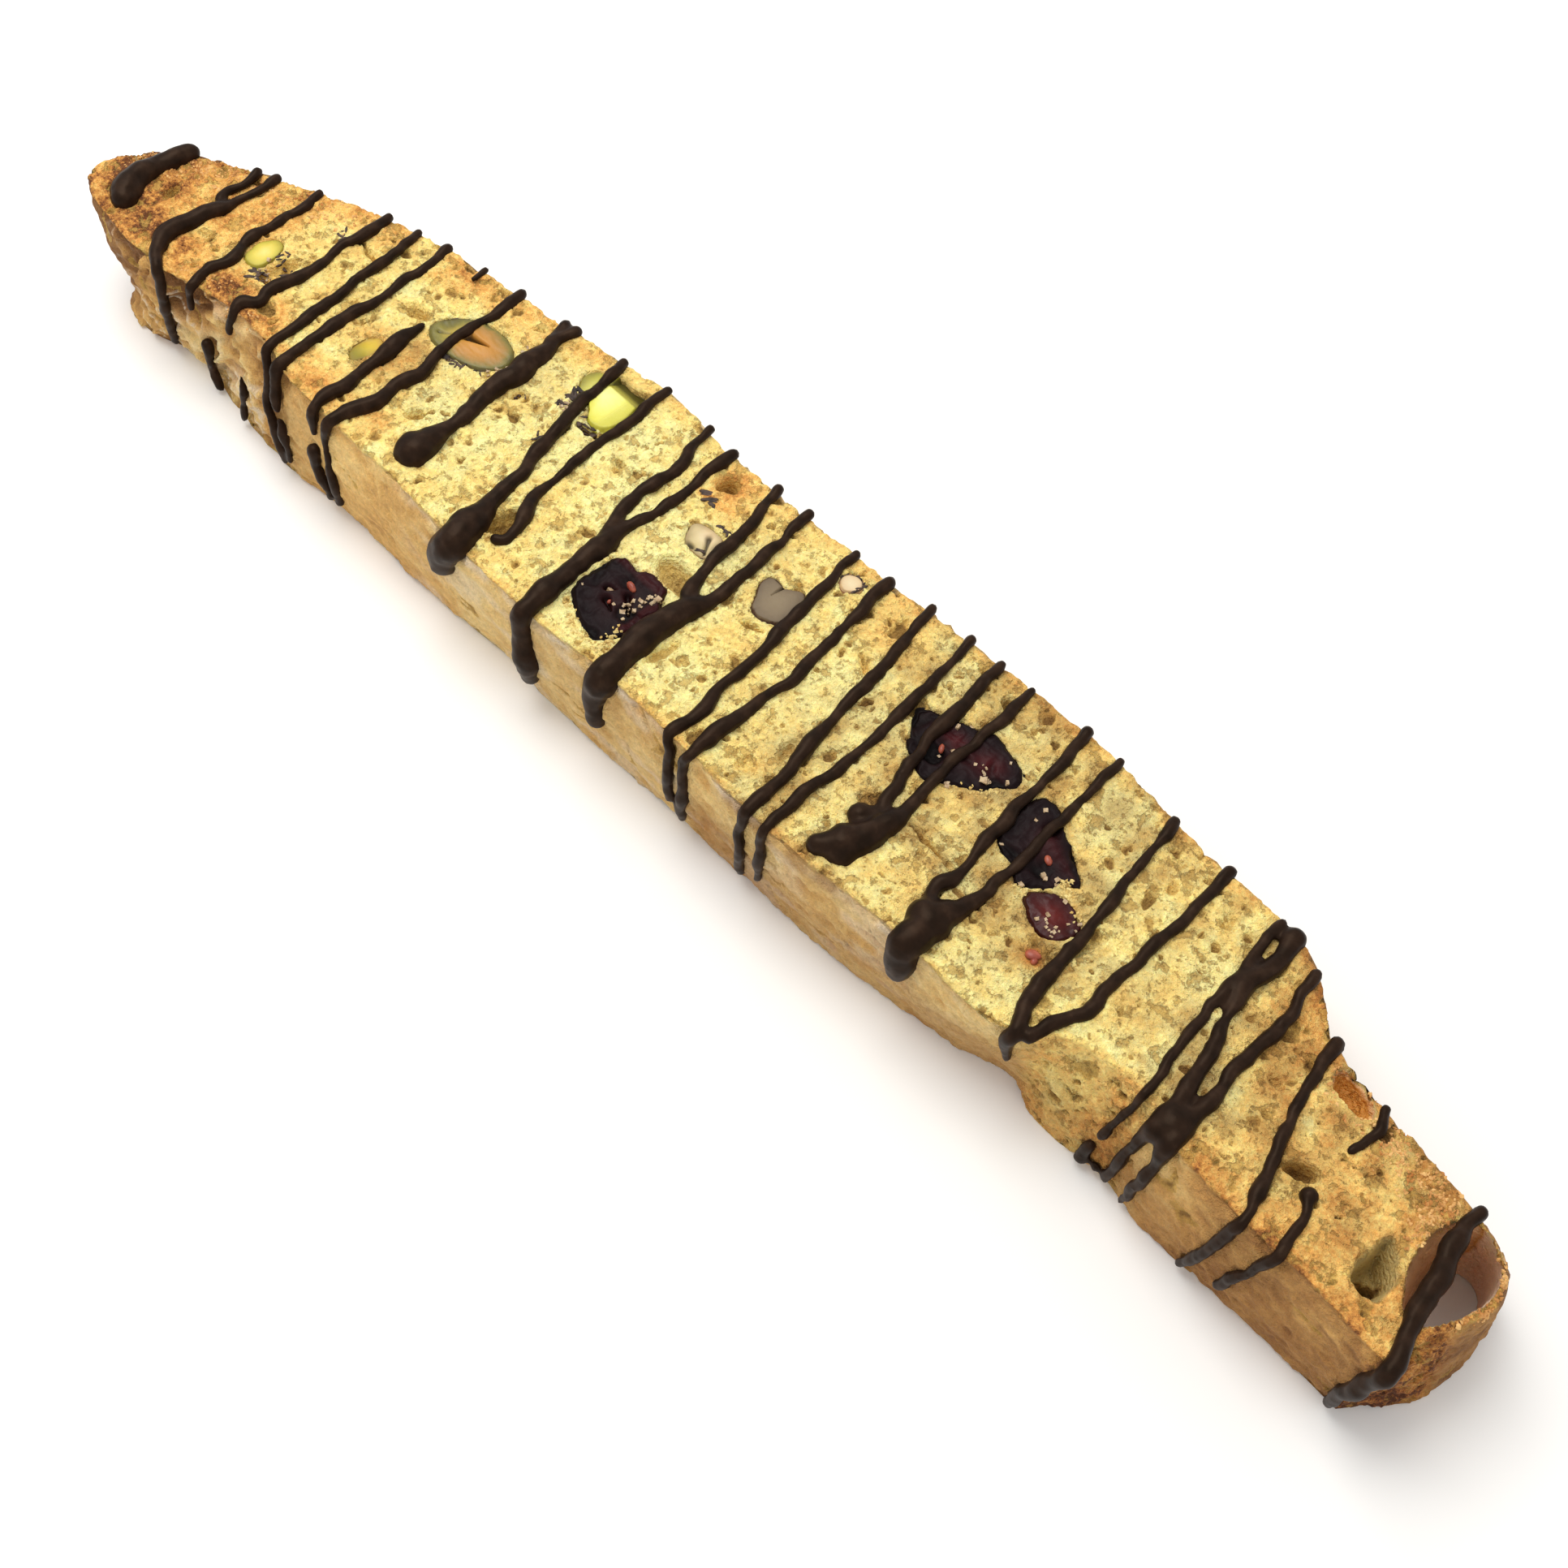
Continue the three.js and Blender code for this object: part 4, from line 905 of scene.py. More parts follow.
# The heel bubble's stops are painted light: a skin lightened against its inner shade, and a lit side in pale tan and
# pink.
candied_and_lit = add_node(tree, "ValToRGB", {"Fac": glaze_and_lit_fac})
set_ramp(candied_and_lit, [(0.2, "#c8ae6e"), (0.5, "#eab884"), (0.75, "#d08e3e"), (1.0, "#ffd8b4")])
glaze_and_lit_share = add_node(tree, "Math", {0: glaze_and_lit_fac, 1: 5.0}, operation="MULTIPLY", use_clamp=True)
caramel = add_node(
    tree,
    "Mix",
    {"Factor": glaze_and_lit_share.outputs["Value"], "A": grainy, "B": candied_and_lit.outputs["Color"]},
    data_type="RGBA",
)
bead_height = add_node(tree, "Math", {0: torn_only.outputs["Value"], 1: bead_painted_shade.outputs["Result"]}, operation="MULTIPLY")
grit = add_node(
    tree, "Math", {0: bead_height, 1: 1.6, 2: grains.outputs["Fac"]}, operation="MULTIPLY_ADD"
)
for shaded_opening, drop in ((shaded_openings[0], -0.7), (shaded_openings[1], -0.45)):
    grit = add_node(tree, "Math", {0: shaded_opening, 1: drop, 2: grit}, operation="MULTIPLY_ADD")
crumb_bump = add_node(tree, "Bump", {"Height": grit, "Strength": 0.9, "Distance": 0.0005})
dryness = add_node(tree, "MapRange", {"Value": glaze_and_lit_fac, "To Min": 0.86, "To Max": 0.38})
crumb_shader = add_node(
    tree,
    "BsdfPrincipled",
    {
        "Base Color": caramel.outputs["Result"],
        "Roughness": dryness.outputs["Result"],
        "Normal": crumb_bump,
        "Subsurface Weight": 0.22,
        "Subsurface Radius": (0.0016, 0.0011, 0.0005),
        "Subsurface Scale": 0.6,
        "Specular IOR Level": 0.35,
    },
)
add_node(tree, "OutputMaterial", {"Surface": crumb_shader})
slice_body.data.materials.clear()
slice_body.data.materials.append(crumb)
print("material:", crumb.name)

# %% [markdown]
# ## Drizzled chocolate
# The strands were flicked on from a fork: each is thin where it left the back crust and thick where
# the fork turned over the front, where some ran down the wall. A curve with a round bevel is a
# strand, with its thickness kept at each point, and balls are the places where it pooled. Voxels
# then melt them all into one skin, as warm chocolate would flow together.

# %% Routes of the strands
STRANDS = [
    # run: places across the face from back to front, each x, y, width
    # wall: places down the front wall, each x, depth, width
    {"run": [(5.0, 12.4, 2.3), (4.5, 10.2, 3.2), (4.2, 7.4, 2.6), (4.7, 5.0, 3.2), (5.4, 3.3, 4.2),
             (6.0, 2.6, 3.6)]},
    {"run": [(12.5, 16.2, 1.3), (13.1, 14.0, 0.9), (12.6, 12.3, 1.1), (13.1, 10.6, 1.2)]},
    {"run": [(14.8, 17.2, 1.3), (14.9, 14.7, 1.3), (14.7, 11.8, 1.3), (14.2, 8.8, 1.9), (13.9, 5.9, 2.1),
             (13.8, 3.0, 1.9), (14.9, 0.8, 1.8), (17.3, -0.8, 1.5)],
     "wall": [(17.6, 2.1, 1.3), (17.5, 5.7, 1.4), (16.9, 9.1, 1.2), (16.4, 12.2, 1.0)]},
    {"run": [(19.8, 19.3, 1.3), (20.3, 15.8, 1.3), (20.4, 12.0, 1.3), (20.3, 8.4, 1.5), (21.4, 6.0, 1.4),
             (21.1, 3.2, 1.4), (21.7, 1.0, 1.2)],
     "wall": [(21.7, 1.3, 1.2), (21.7, 2.9, 1.0)]},
    {"run": [(27.7, 22.9, 1.3), (28.2, 19.4, 1.4), (28.1, 15.8, 1.2), (28.4, 12.0, 1.4), (28.2, 8.8, 1.5),
             (28.1, 5.6, 1.3), (28.6, 4.3, 1.5), (27.3, 2.9, 1.5), (27.7, 1.4, 1.2)],
     "wall": [(27.6, 1.2, 1.2), (27.7, 2.5, 0.9)]},
    {"run": [(31.7, 24.0, 1.3), (32.5, 20.5, 1.2), (33.0, 16.8, 1.2), (33.0, 14.0, 1.2), (33.6, 11.5, 1.4),
             (33.7, 8.0, 1.4), (34.1, 4.6, 1.5), (34.3, 1.5, 1.5)],
     "wall": [(35.2, 1.6, 1.3), (35.8, 3.1, 1.1), (36.0, 5.1, 1.3), (37.4, 7.4, 1.3), (38.1, 10.0, 1.5),
              (38.7, 12.5, 1.0)]},
    {"run": [(35.8, 24.9, 1.2), (36.2, 21.4, 1.2), (36.5, 17.8, 1.2), (37.0, 14.2, 1.2), (36.7, 11.1, 1.6),
             (36.8, 7.4, 1.5), (36.8, 3.8, 1.4), (37.2, 1.2, 1.6)],
     "wall": [(37.6, 1.5, 1.3), (37.9, 3.4, 1.2), (38.4, 4.5, 0.8)]},
    {"run": [(41.2, 25.9, 1.0), (41.4, 23.9, 0.7)]},
    {"run": [(42.8, 15.6, 0.7), (42.9, 13.2, 1.7), (43.5, 10.0, 1.9), (43.4, 7.4, 1.6), (44.1, 4.3, 1.5),
             (44.0, 1.2, 1.8), (44.3, 0.1, 1.6)],
     "wall": [(44.4, 1.4, 1.4), (44.7, 2.9, 1.1)]},
    {"run": [(46.4, 26.6, 1.5), (46.7, 23.0, 1.3), (46.5, 18.9, 1.3), (46.7, 14.7, 1.3), (47.8, 11.5, 1.5),
             (47.5, 8.0, 1.5), (48.2, 4.8, 1.7), (47.0, 1.7, 1.6), (46.9, 0.1, 1.5)],
     "wall": [(46.6, 2.4, 1.2), (47.1, 4.4, 1.0), (47.7, 7.8, 1.4), (47.7, 11.8, 1.0)]},
    {"run": [(52.9, 27.4, 1.3), (53.2, 25.8, 1.3), (53.9, 24.4, 1.6)]},
    {"run": [(54.5, 27.5, 1.3), (54.2, 25.5, 1.6), (54.6, 22.0, 2.8), (54.8, 18.4, 2.7), (54.6, 16.6, 2.3),
             (55.3, 13.7, 2.7), (55.6, 11.6, 2.2), (56.0, 9.3, 1.5), (55.7, 7.4, 2.1), (55.8, 5.4, 3.4)]},
    {"run": [(61.2, 28.5, 1.4), (61.7, 25.6, 1.3), (62.4, 22.0, 1.5), (63.0, 18.9, 1.5), (63.8, 15.8, 1.7),
             (64.9, 12.6, 1.6), (65.9, 10.0, 1.6), (66.3, 6.9, 2.4), (66.7, 3.8, 2.9), (67.2, 1.7, 3.6),
             (67.8, -0.4, 3.6)],
     "wall": [(67.0, 1.7, 3.5), (66.6, 4.0, 2.8)]},
    {"run": [(67.4, 29.3, 1.4), (67.5, 26.0, 1.4), (68.0, 22.0, 1.2), (68.1, 17.8, 1.2), (68.3, 13.7, 1.2),
             (68.8, 10.0, 1.3), (69.8, 7.2, 1.7), (70.9, 5.4, 1.5), (71.3, 4.3, 1.4),
             (71.2, 3.3, 1.5), (70.5, 2.7, 1.3)]},
    {"run": [(74.3, 29.0, 1.3), (74.8, 26.0, 1.2), (75.8, 22.8, 1.7), (75.7, 20.4, 1.3), (75.9, 16.8, 1.4),
             (76.8, 13.2, 1.4), (77.7, 11.0, 1.5)]},
    {"run": [(78.4, 28.6, 1.5), (78.3, 25.6, 1.3), (78.8, 22.4, 1.1), (78.7, 18.4, 1.3), (78.4, 14.7, 1.3),
             (78.1, 11.6, 1.9), (78.1, 8.0, 2.5), (78.5, 4.3, 2.6), (78.8, 0.7, 2.8), (78.9, -0.6, 2.7)],
     "wall": [(79.0, 1.8, 2.7), (79.7, 4.0, 2.5), (80.3, 6.4, 2.6), (80.1, 9.6, 2.4)]},
    {"run": [(85.0, 28.9, 1.3), (85.7, 26.0, 1.2), (86.7, 21.5, 1.5), (87.0, 18.9, 1.5), (87.8, 15.7, 1.3),
             (88.8, 12.4, 1.7)]},
    {"run": [(89.4, 29.0, 1.3), (89.8, 25.6, 1.2), (90.4, 21.5, 1.3), (90.8, 17.3, 1.5), (90.9, 14.2, 1.8),
             (90.0, 11.8, 2.6), (89.5, 9.5, 3.1), (89.6, 6.4, 3.3), (89.6, 3.8, 3.2), (90.1, 0.7, 3.4)],
     "wall": [(89.6, 2.2, 3.2), (89.7, 4.7, 2.9), (90.0, 7.0, 2.3)]},
    {"run": [(96.4, 29.0, 1.3), (96.8, 25.6, 1.2), (97.4, 22.0, 1.4), (97.9, 18.4, 1.6), (98.7, 14.7, 1.5),
             (99.1, 11.1, 1.3), (99.2, 7.4, 1.2), (99.9, 4.3, 1.7), (99.7, 0.9, 1.5)],
     "wall": [(100.5, 1.4, 1.3), (100.5, 3.8, 1.2), (100.7, 6.1, 1.4), (101.0, 9.0, 1.1)]},
    {"run": [(101.2, 29.0, 1.4), (101.6, 25.6, 1.2), (102.1, 21.5, 1.3), (102.6, 17.3, 1.5),
             (103.1, 13.2, 1.4), (103.0, 10.0, 1.3), (102.9, 5.9, 1.7), (102.7, 1.2, 1.5)],
     "wall": [(102.4, 1.4, 1.2), (102.6, 4.0, 1.4), (102.8, 7.5, 1.5), (102.4, 11.8, 1.0)]},
    {"run": [(106.4, 30.0, 1.3), (106.8, 26.7, 1.3), (107.8, 22.5, 1.3), (108.5, 18.4, 1.5),
             (109.0, 14.2, 1.3), (109.7, 10.0, 1.6), (110.5, 5.9, 1.5), (110.9, 0.5, 1.5)],
     "wall": [(111.0, 1.6, 1.2), (111.0, 4.0, 1.4), (111.2, 6.3, 1.2), (110.9, 9.4, 1.2),
              (110.8, 12.2, 0.9)]},
    {"run": [(111.8, 30.1, 1.3), (112.2, 26.2, 1.1), (112.8, 21.5, 1.3), (113.3, 16.8, 1.4),
             (113.6, 12.1, 1.2), (113.5, 7.4, 1.4), (113.3, 3.3, 1.4), (113.7, 0.1, 1.3)],
     "wall": [(113.5, 1.6, 1.1), (113.7, 5.5, 1.2), (113.6, 9.2, 0.9)]},
    {"run": [(115.9, 30.2, 1.3), (116.3, 26.7, 1.4), (116.7, 22.5, 1.6), (117.2, 18.4, 1.4),
             (118.0, 14.7, 1.4), (118.8, 11.6, 1.6), (119.7, 9.2, 1.8)]},
    {"run": [(120.1, 30.2, 1.2), (120.4, 26.2, 1.3), (120.5, 21.5, 1.2), (120.6, 16.8, 1.3),
             (121.2, 13.2, 1.4),
             (121.3, 10.6, 1.7), (120.9, 8.0, 2.7), (120.8, 5.8, 3.2), (119.6, 3.6, 3.8), (118.3, 2.1, 2.4)]},
    {"run": [(127.1, 30.7, 1.4), (127.5, 27.2, 1.3), (128.1, 23.1, 1.3), (128.3, 18.4, 1.5),
             (128.8, 14.7, 1.6), (129.3, 11.6, 1.3), (129.5, 9.0, 1.7), (129.0, 7.2, 1.6),
             (129.9, 5.4, 2.0)]},
    {"run": [(131.6, 30.4, 1.3), (131.9, 26.2, 1.2), (132.2, 21.5, 1.3), (132.3, 16.8, 1.3),
             (132.6, 12.1, 1.4), (132.4, 9.0, 1.7), (131.9, 6.4, 2.6), (131.2, 3.8, 3.2), (131.2, 0.8, 3.4)],
     "wall": [(131.3, 1.6, 3.5), (131.4, 3.8, 2.7)]},
    {"run": [(139.6, 29.4, 1.4), (140.1, 25.7, 1.2), (140.5, 22.5, 1.2), (141.3, 18.4, 1.5),
             (141.8, 14.7, 1.5), (142.3, 11.1, 1.6), (142.8, 6.9, 1.6), (143.6, 3.3, 1.6), (144.2, 1.8, 1.5)],
     "wall": [(144.1, 2.5, 1.4), (144.3, 5.2, 0.9)]},
    {"run": [(146.8, 29.1, 1.4), (147.1, 25.7, 1.3), (147.3, 21.5, 1.4), (147.0, 17.3, 1.4),
             (147.1, 13.2, 1.4), (147.0, 10.6, 1.4), (147.5, 8.5, 1.7), (146.3, 5.6, 1.6),
             (145.8, 3.6, 1.5), (145.5, 2.4, 1.5)]},
    {"run": [(153.7, 28.6, 1.2), (153.9, 25.1, 1.2), (154.4, 22.0, 1.3), (154.8, 19.0, 1.3),
             (154.9, 16.4, 1.2), (155.2, 13.2, 1.4), (155.6, 10.6, 1.0), (156.0, 7.4, 1.1),
             (156.2, 5.8, 0.9)],
     "wall": [(156.0, 2.5, 1.0), (155.7, 5.0, 1.0), (155.3, 7.0, 1.3)]},
    {"run": [(155.6, 28.2, 2.2), (156.0, 24.6, 1.9), (155.6, 21.0, 2.2), (156.4, 17.9, 1.4),
             (157.4, 14.2, 1.5), (157.9, 11.6, 1.6), (158.6, 8.6, 1.7), (159.2, 5.6, 2.6)],
     "wall": [(158.6, 2.2, 1.6), (158.1, 5.0, 1.3), (157.7, 9.0, 1.2), (157.4, 12.5, 1.0)]},
    {"run": [(159.3, 26.9, 1.3), (159.9, 23.1, 1.3), (160.4, 18.4, 1.5), (160.3, 13.7, 1.4),
             (160.9, 11.1, 1.6), (161.0, 8.5, 1.8), (160.6, 6.6, 2.4), (161.0, 5.0, 2.0)],
     "wall": [(161.1, 2.2, 1.6), (160.7, 6.0, 1.3), (160.3, 10.0, 1.2), (159.9, 12.8, 0.9)]},
    {"run": [(165.0, 23.0, 1.4), (165.4, 19.8, 1.3), (165.8, 16.8, 1.2), (166.8, 13.7, 1.2),
             (167.8, 11.0, 1.3), (168.9, 7.4, 1.4), (170.2, 3.7, 1.4)],
     "wall": [(169.6, 1.8, 1.3), (169.0, 5.8, 1.2), (168.1, 10.5, 1.3), (167.6, 12.7, 1.0)]},
    {"run": [(172.1, 20.9, 1.3), (172.9, 18.9, 1.2), (172.7, 16.8, 0.9), (172.4, 15.5, 1.1)]},
    {"run": [(172.4, 9.4, 1.7), (173.4, 8.0, 1.2), (173.8, 5.4, 1.2), (174.0, 3.6, 1.2)],
     "wall": [(173.4, 2.6, 1.1), (172.5, 6.2, 1.0), (171.6, 9.8, 1.2)]},
    {"run": [(183.9, 19.3, 1.8), (183.7, 17.3, 1.9), (184.3, 14.2, 2.1), (185.2, 10.2, 1.9),
             (186.1, 6.4, 1.9), (187.0, 2.6, 1.9)],
     "wall": [(186.8, 1.9, 2.1), (185.9, 5.7, 1.8), (185.3, 9.5, 1.5), (185.2, 12.5, 1.2)]},
]
WALL_BITS = [
    # lengths left on the wall where a strand broke off: each x, depth, width
    [(23.8, 6.9, 1.5), (24.2, 8.7, 1.1), (24.0, 11.2, 1.3), (24.7, 13.2, 1.0)],
    [(30.6, 6.4, 0.6), (30.9, 8.1, 1.2), (30.6, 10.9, 0.9), (30.4, 12.9, 0.8)],
    [(39.1, 5.6, 0.8), (39.6, 7.3, 1.3), (40.0, 8.9, 1.0), (39.7, 11.5, 0.9)],
    [(44.9, 5.4, 1.5), (45.3, 7.8, 1.1), (45.8, 9.5, 1.3), (46.2, 12.2, 1.0)],
    [(154.7, 9.8, 1.3), (154.5, 12.6, 1.6)],
    [(156.1, 12.2, 1.1), (156.1, 12.7, 1.1)],
]
DROPS = [
    # place, size, height
    ((55.8, 4.1), (4.5, 5.0), 1.9),
    ((118.6, 7.6), (2.7, 2.9), 1.4),
    ((119.9, 3.9), (4.4, 4.6), 1.7),
    ((131.0, 4.2), (4.8, 4.0), 1.9),
    ((159.9, 5.9), (4.2, 4.6), 1.6),
    ((172.5, 9.5), (1.9, 1.9), 1.1),
]
RISE = (0.35, 0.42)  # a strand stands this much, and this share of its width, above the crumb


def on_face(x, y, width):
    rise = RISE[0] + RISE[1] * width
    return (x, y, float(face_z(np.array(x), np.array(y))) + rise - width / 2)


def on_wall(x, fall, width):
    rise = RISE[0] + RISE[1] * width
    return (x, float(front_y(np.array(x), np.array(fall))) - (rise - width / 2), THICK - fall)


def strand_places(run, wall=()):
    """The strand's middle line as rows of x, y, z and radius, from the back crust to its front end."""
    rows = []
    for x, y, width in run:
        if wall and y < float(front_top(np.array(x))) + 0.9:
            continue
        rows.append((*on_face(x, y, width), width / 2))
    if wall:
        x, mean = run[-1][0], (run[-1][2] + wall[0][2]) / 2
        corner = (RISE[0] + RISE[1] * mean - mean / 2) * 0.7
        rows.append((x, float(front_top(np.array(x))) - corner + 0.15, THICK + corner - 0.2, mean / 2))
    rows += [(*on_wall(x, fall, width), width / 2) for x, fall, width in wall]
    return np.array(rows)


def flowing(rows, step, seed):
    """Points close together on a smooth path through the rows, wandering and swelling a little."""
    gaps = np.linalg.norm(np.diff(rows[:, :3], axis=0), axis=1)
    way = np.concatenate([[0], np.cumsum(gaps)])
    fine_way = np.linspace(0, way[-1], max(4, int(way[-1] / step)))
    path = np.stack([through(list(zip(way, rows[:, k])))(fine_way) for k in range(4)], axis=1)
    line = np.stack([fine_way, 0 * fine_way, 0 * fine_way], axis=1)
    fade = np.minimum(1, np.minimum(fine_way, way[-1] - fine_way) / 2)
    path[:, 0] += 0.22 * fade * noise(line / 2.3, seed) + 0.09 * fade * noise(line / 0.9, seed + 50)
    path[:, 3] *= 1.01 + 0.17 * noise(line / 1.9, seed + 100)
    return path


def rounded(path):
    """Adds the shrinking steps that close both ends like a drop."""
    def nose(end, before):
        way = (end[:3] - before[:3]) / np.linalg.norm(end[:3] - before[:3])
        return [np.append(end[:3] + way * end[3] * k, end[3] * math.sqrt(1 - k * k)) for k in (0.35, 0.65, 0.85, 0.97)]

    return np.array(nose(path[0], path[1])[::-1] + list(path) + nose(path[-1], path[-2]))


print(len(STRANDS), "strands,", len(DROPS), "drops")

# %% Pour the chocolate
bpy.ops.curve.primitive_nurbs_path_add(radius=1, location=(0, 0, 0))
chocolate = bpy.context.object
chocolate.name = "drizzle_dark_chocolate"
chocolate.data.splines.clear()
chocolate.data.bevel_depth = 1.0
chocolate.data.bevel_resolution = 3 if DENSE else 1
chocolate.data.use_fill_caps = True
routes = [flowing(strand_places(**strand), 0.45, 200 + n) for n, strand in enumerate(STRANDS)]
for n, bit in enumerate(WALL_BITS):
    rows = np.array([(*on_wall(x, fall, width), width / 2) for x, fall, width in bit])
    routes.append(flowing(rows, 0.45, 300 + n))
for route in routes:
    closed = rounded(route)
    spline = chocolate.data.splines.new("POLY")
    spline.points.add(len(closed) - 1)
    for point, (x, y, z, radius) in zip(spline.points, closed):
        point.co = (x, y, z, 1)
        point.radius = radius
take_only(chocolate)
bpy.ops.object.convert(target="MESH")
chocolate = named("drizzle_dark_chocolate")
balls = []
for (x, y), (long, wide), height in DROPS:
    bpy.ops.mesh.primitive_uv_sphere_add(segments=24, ring_count=14, radius=1)
    ball = named("chocolate_drop")
    bpy.ops.transform.resize(value=(long / 2, wide / 2, height))
    bpy.ops.transform.translate(value=(x, y, float(face_z(np.array(x), np.array(y))) - 0.1))
    bpy.ops.object.transform_apply()
    balls.append(ball)
take_only(chocolate)
for ball in balls:
    ball.select_set(True)
bpy.ops.object.join()
apply_modifier(chocolate, "REMESH", mode="VOXEL", voxel_size=0.28 if DENSE else 0.4)
apply_modifier(chocolate, "SMOOTH", factor=0.6, iterations=4)
points, out = coords(chocolate), normals(chocolate)
ripple = 0.14 * noise(points / 2.2, 401) + 0.07 * noise(points / 0.9, 402)
moved = points + out * ripple[:, None]
moved[:, 2] = np.clip(moved[:, 2], 0.05, None)
reshape(chocolate, moved)
settle(chocolate)

# %% [markdown]
# Dark couverture, melted and left to set without tempering: nearly black brown, satin rather than
# glossy, with a faint bloom and tiny waves where it set as it ran. The fat on its skin gives its
# gleam a warm tint.

# %% Chocolate material
dark, tree = new_material("dark_chocolate_set_satin")
place = add_node(tree, "TexCoord").outputs["Object"]
waves = add_node(tree, "TexNoise", {"Vector": place, "Scale": per(1.6), "Detail": 3.0, "Roughness": 0.5})
bloom = add_node(tree, "ValToRGB", {"Fac": waves.outputs["Fac"]})
set_ramp(bloom, [(0.3, "#1a110c"), (0.55, "#271a13"), (0.8, "#38281e")])
satin = add_node(tree, "MapRange", {"Value": waves.outputs["Fac"], "To Min": 0.30, "To Max": 0.48})
grain_fine = add_node(tree, "TexNoise", {"Vector": place, "Scale": per(0.35), "Detail": 2.0})
set_skin = add_node(
    tree, "Bump", {"Height": grain_fine.outputs["Fac"], "Strength": 0.12, "Distance": 0.00008}
)
dark_shader = add_node(
    tree,
    "BsdfPrincipled",
    {
        "Base Color": bloom.outputs["Color"],
        "Roughness": satin.outputs["Result"],
        "Normal": set_skin,
        "IOR": 1.5,
        "Specular IOR Level": 0.12,
        "Specular Tint": colour("#ffdcbc"),
    },
)
add_node(tree, "OutputMaterial", {"Surface": dark_shader})
chocolate.data.materials.clear()
chocolate.data.materials.append(dark)
print("material:", dark.name)


# %% [markdown]
# ## Nuts and berries, the shapes
# Each starts as a ball of small triangles. Its upper half is pressed flat, as the knife left it, and
# drawn out to its own rim. Then each kind is worked: pistachios split along their seam, cranberries
# shrivel round their seeds, and pecans keep the fold of the kernel. A second number is painted where a
# second colour shows, such as the oven's brown on a nut or the red flesh inside a berry, and on the
# halved pistachio it is a painted shade on its darker facets.

# %% Shape a lump
FINE = 6 if DENSE else 4


def mound(x, y, at, half):
    """1 in the middle of an oval place and 0 well outside it."""
    return np.exp(-(((x - at[0]) / half[0]) ** 2 + ((y - at[1]) / half[1]) ** 2))


def groove(x, y, start, end, width):
    """1 along the line from start to end, fading over its width."""
    way = np.subtract(end, start)
    t = np.clip(((x - start[0]) * way[0] + (y - start[1]) * way[1]) / (way @ way), 0, 1)
    off = np.hypot(x - start[0] - t * way[0], y - start[1] - t * way[1])
    return np.exp(-((off / (width * (1.15 - t))) ** 2))


def lump(name, fineness, work, fray=0.0):
    """A cut nut or berry. work(x, y, rho, points) gives its face's relief in mm and its second colour, which on one nut
    is a painted shade.
    """
    depth, rim = INCLUSIONS[name]
    middle = middle_of(rim)
    bpy.ops.mesh.primitive_ico_sphere_add(subdivisions=fineness, radius=1)
    piece = named(name + "_flesh")
    ball = coords(piece)
    turns, rho = np.arctan2(ball[:, 1], ball[:, 0]), np.hypot(ball[:, 0], ball[:, 1])
    round_it = np.stack([np.cos(turns), np.sin(turns), 0 * turns], axis=1)
    torn_rim = noise(round_it * 3.5 + middle[0], 98) + 0.6 * noise(round_it * 8, 99)
    radius = rho * reach(rim, turns) * (1 + fray * torn_rim)
    x, y = middle[0] + radius * np.cos(turns), middle[1] + radius * np.sin(turns)
    points = np.stack([x, y, 0 * x], axis=1)
    relief, blush_and_shade = work(x, y, rho, points)
    cut = ball[:, 2] > 0
    face = float(face_z(np.array(middle[0]), np.array(middle[1])))
    high = face + 0.10 - 0.35 * smooth(rho, 0.88, 1.0) + relief * (1 - smooth(rho, 0.92, 1))
    z = np.where(cut, high, face - 0.25 + ball[:, 2] * (depth - 0.3))
    reshape(piece, np.stack([x, y, z], axis=1))
    paint(piece, "rim", np.where(cut, rho, 1.0))
    paint(piece, "relief", 0.5 + relief - np.median(relief[cut]))
    paint(piece, "blush_and_shade", blush_and_shade)
    return piece


print("a ball of fineness", FINE)


# %% Pistachios
def bright_nut(x, y, rho, points):
    return 0.16 * (1 - rho**2) + 0.03 * noise(points / 1.2, 71), smooth(y, 9.5, 12.5)


def sunken_nut(x, y, rho, points):
    return -0.35 + 0.10 * noise(points / 1.1, 74), 1 - smooth(y, 7.6, 10.2)


def split_nut(x, y, rho, points):
    """A wide nut, browned at its right, with a dark wedge between its halves and a slit at its left."""
    wedge = groove(x, y, (47.0, 18.2), (49.9, 19.0), 0.42) * smooth(x, 46.6, 47.4)
    slit = groove(x, y, (44.5, 16.4), (45.8, 17.2), 0.16)
    fibres = 0.05 * noise(np.stack([x * 0.5 + y, y - x * 0.25, 0 * x], axis=1) / 0.5, 75)
    relief = 0.18 * (1 - rho**3) - 0.95 * wedge - 0.35 * slit + fibres - 0.3 * mound(x, y, (44.8, 18.0), (1.2, 1.8))
    return relief, smooth(x + 0.3 * (y - 18), 45.6, 47.6) * (1 - smooth(rho, 0.78, 0.95))


def halved_nut(x, y, rho, points):
    """A rounded half on the left, and a block with crisp edges on the right. Its second colour is a painted shade, on
    the block's bevelled back, on the left half and a little on the block's right end.
    """
    seam = np.exp(-(((x - 62.0 + 0.25 * (y - 24)) / 0.25) ** 2))
    back_bevel = 0.55 * np.clip(y - 25.1, 0, 2) * smooth(x, 62, 62.6)
    dome = 0.25 * mound(x, y, (60.8, 24.2), (1.2, 1.8))
    face = 0.22 * smooth(x, 62.4, 62.9) * (1 - smooth(rho, 0.9, 1))
    shade = smooth(y, 25.0, 25.3) * smooth(x, 62, 62.6) + smooth(-x, -62.2, -60.2) + 0.25 * smooth(x, 65.2, 66.0)
    return face + dome - back_bevel - 0.6 * seam + 0.02 * noise(points / 1.4, 73), shade


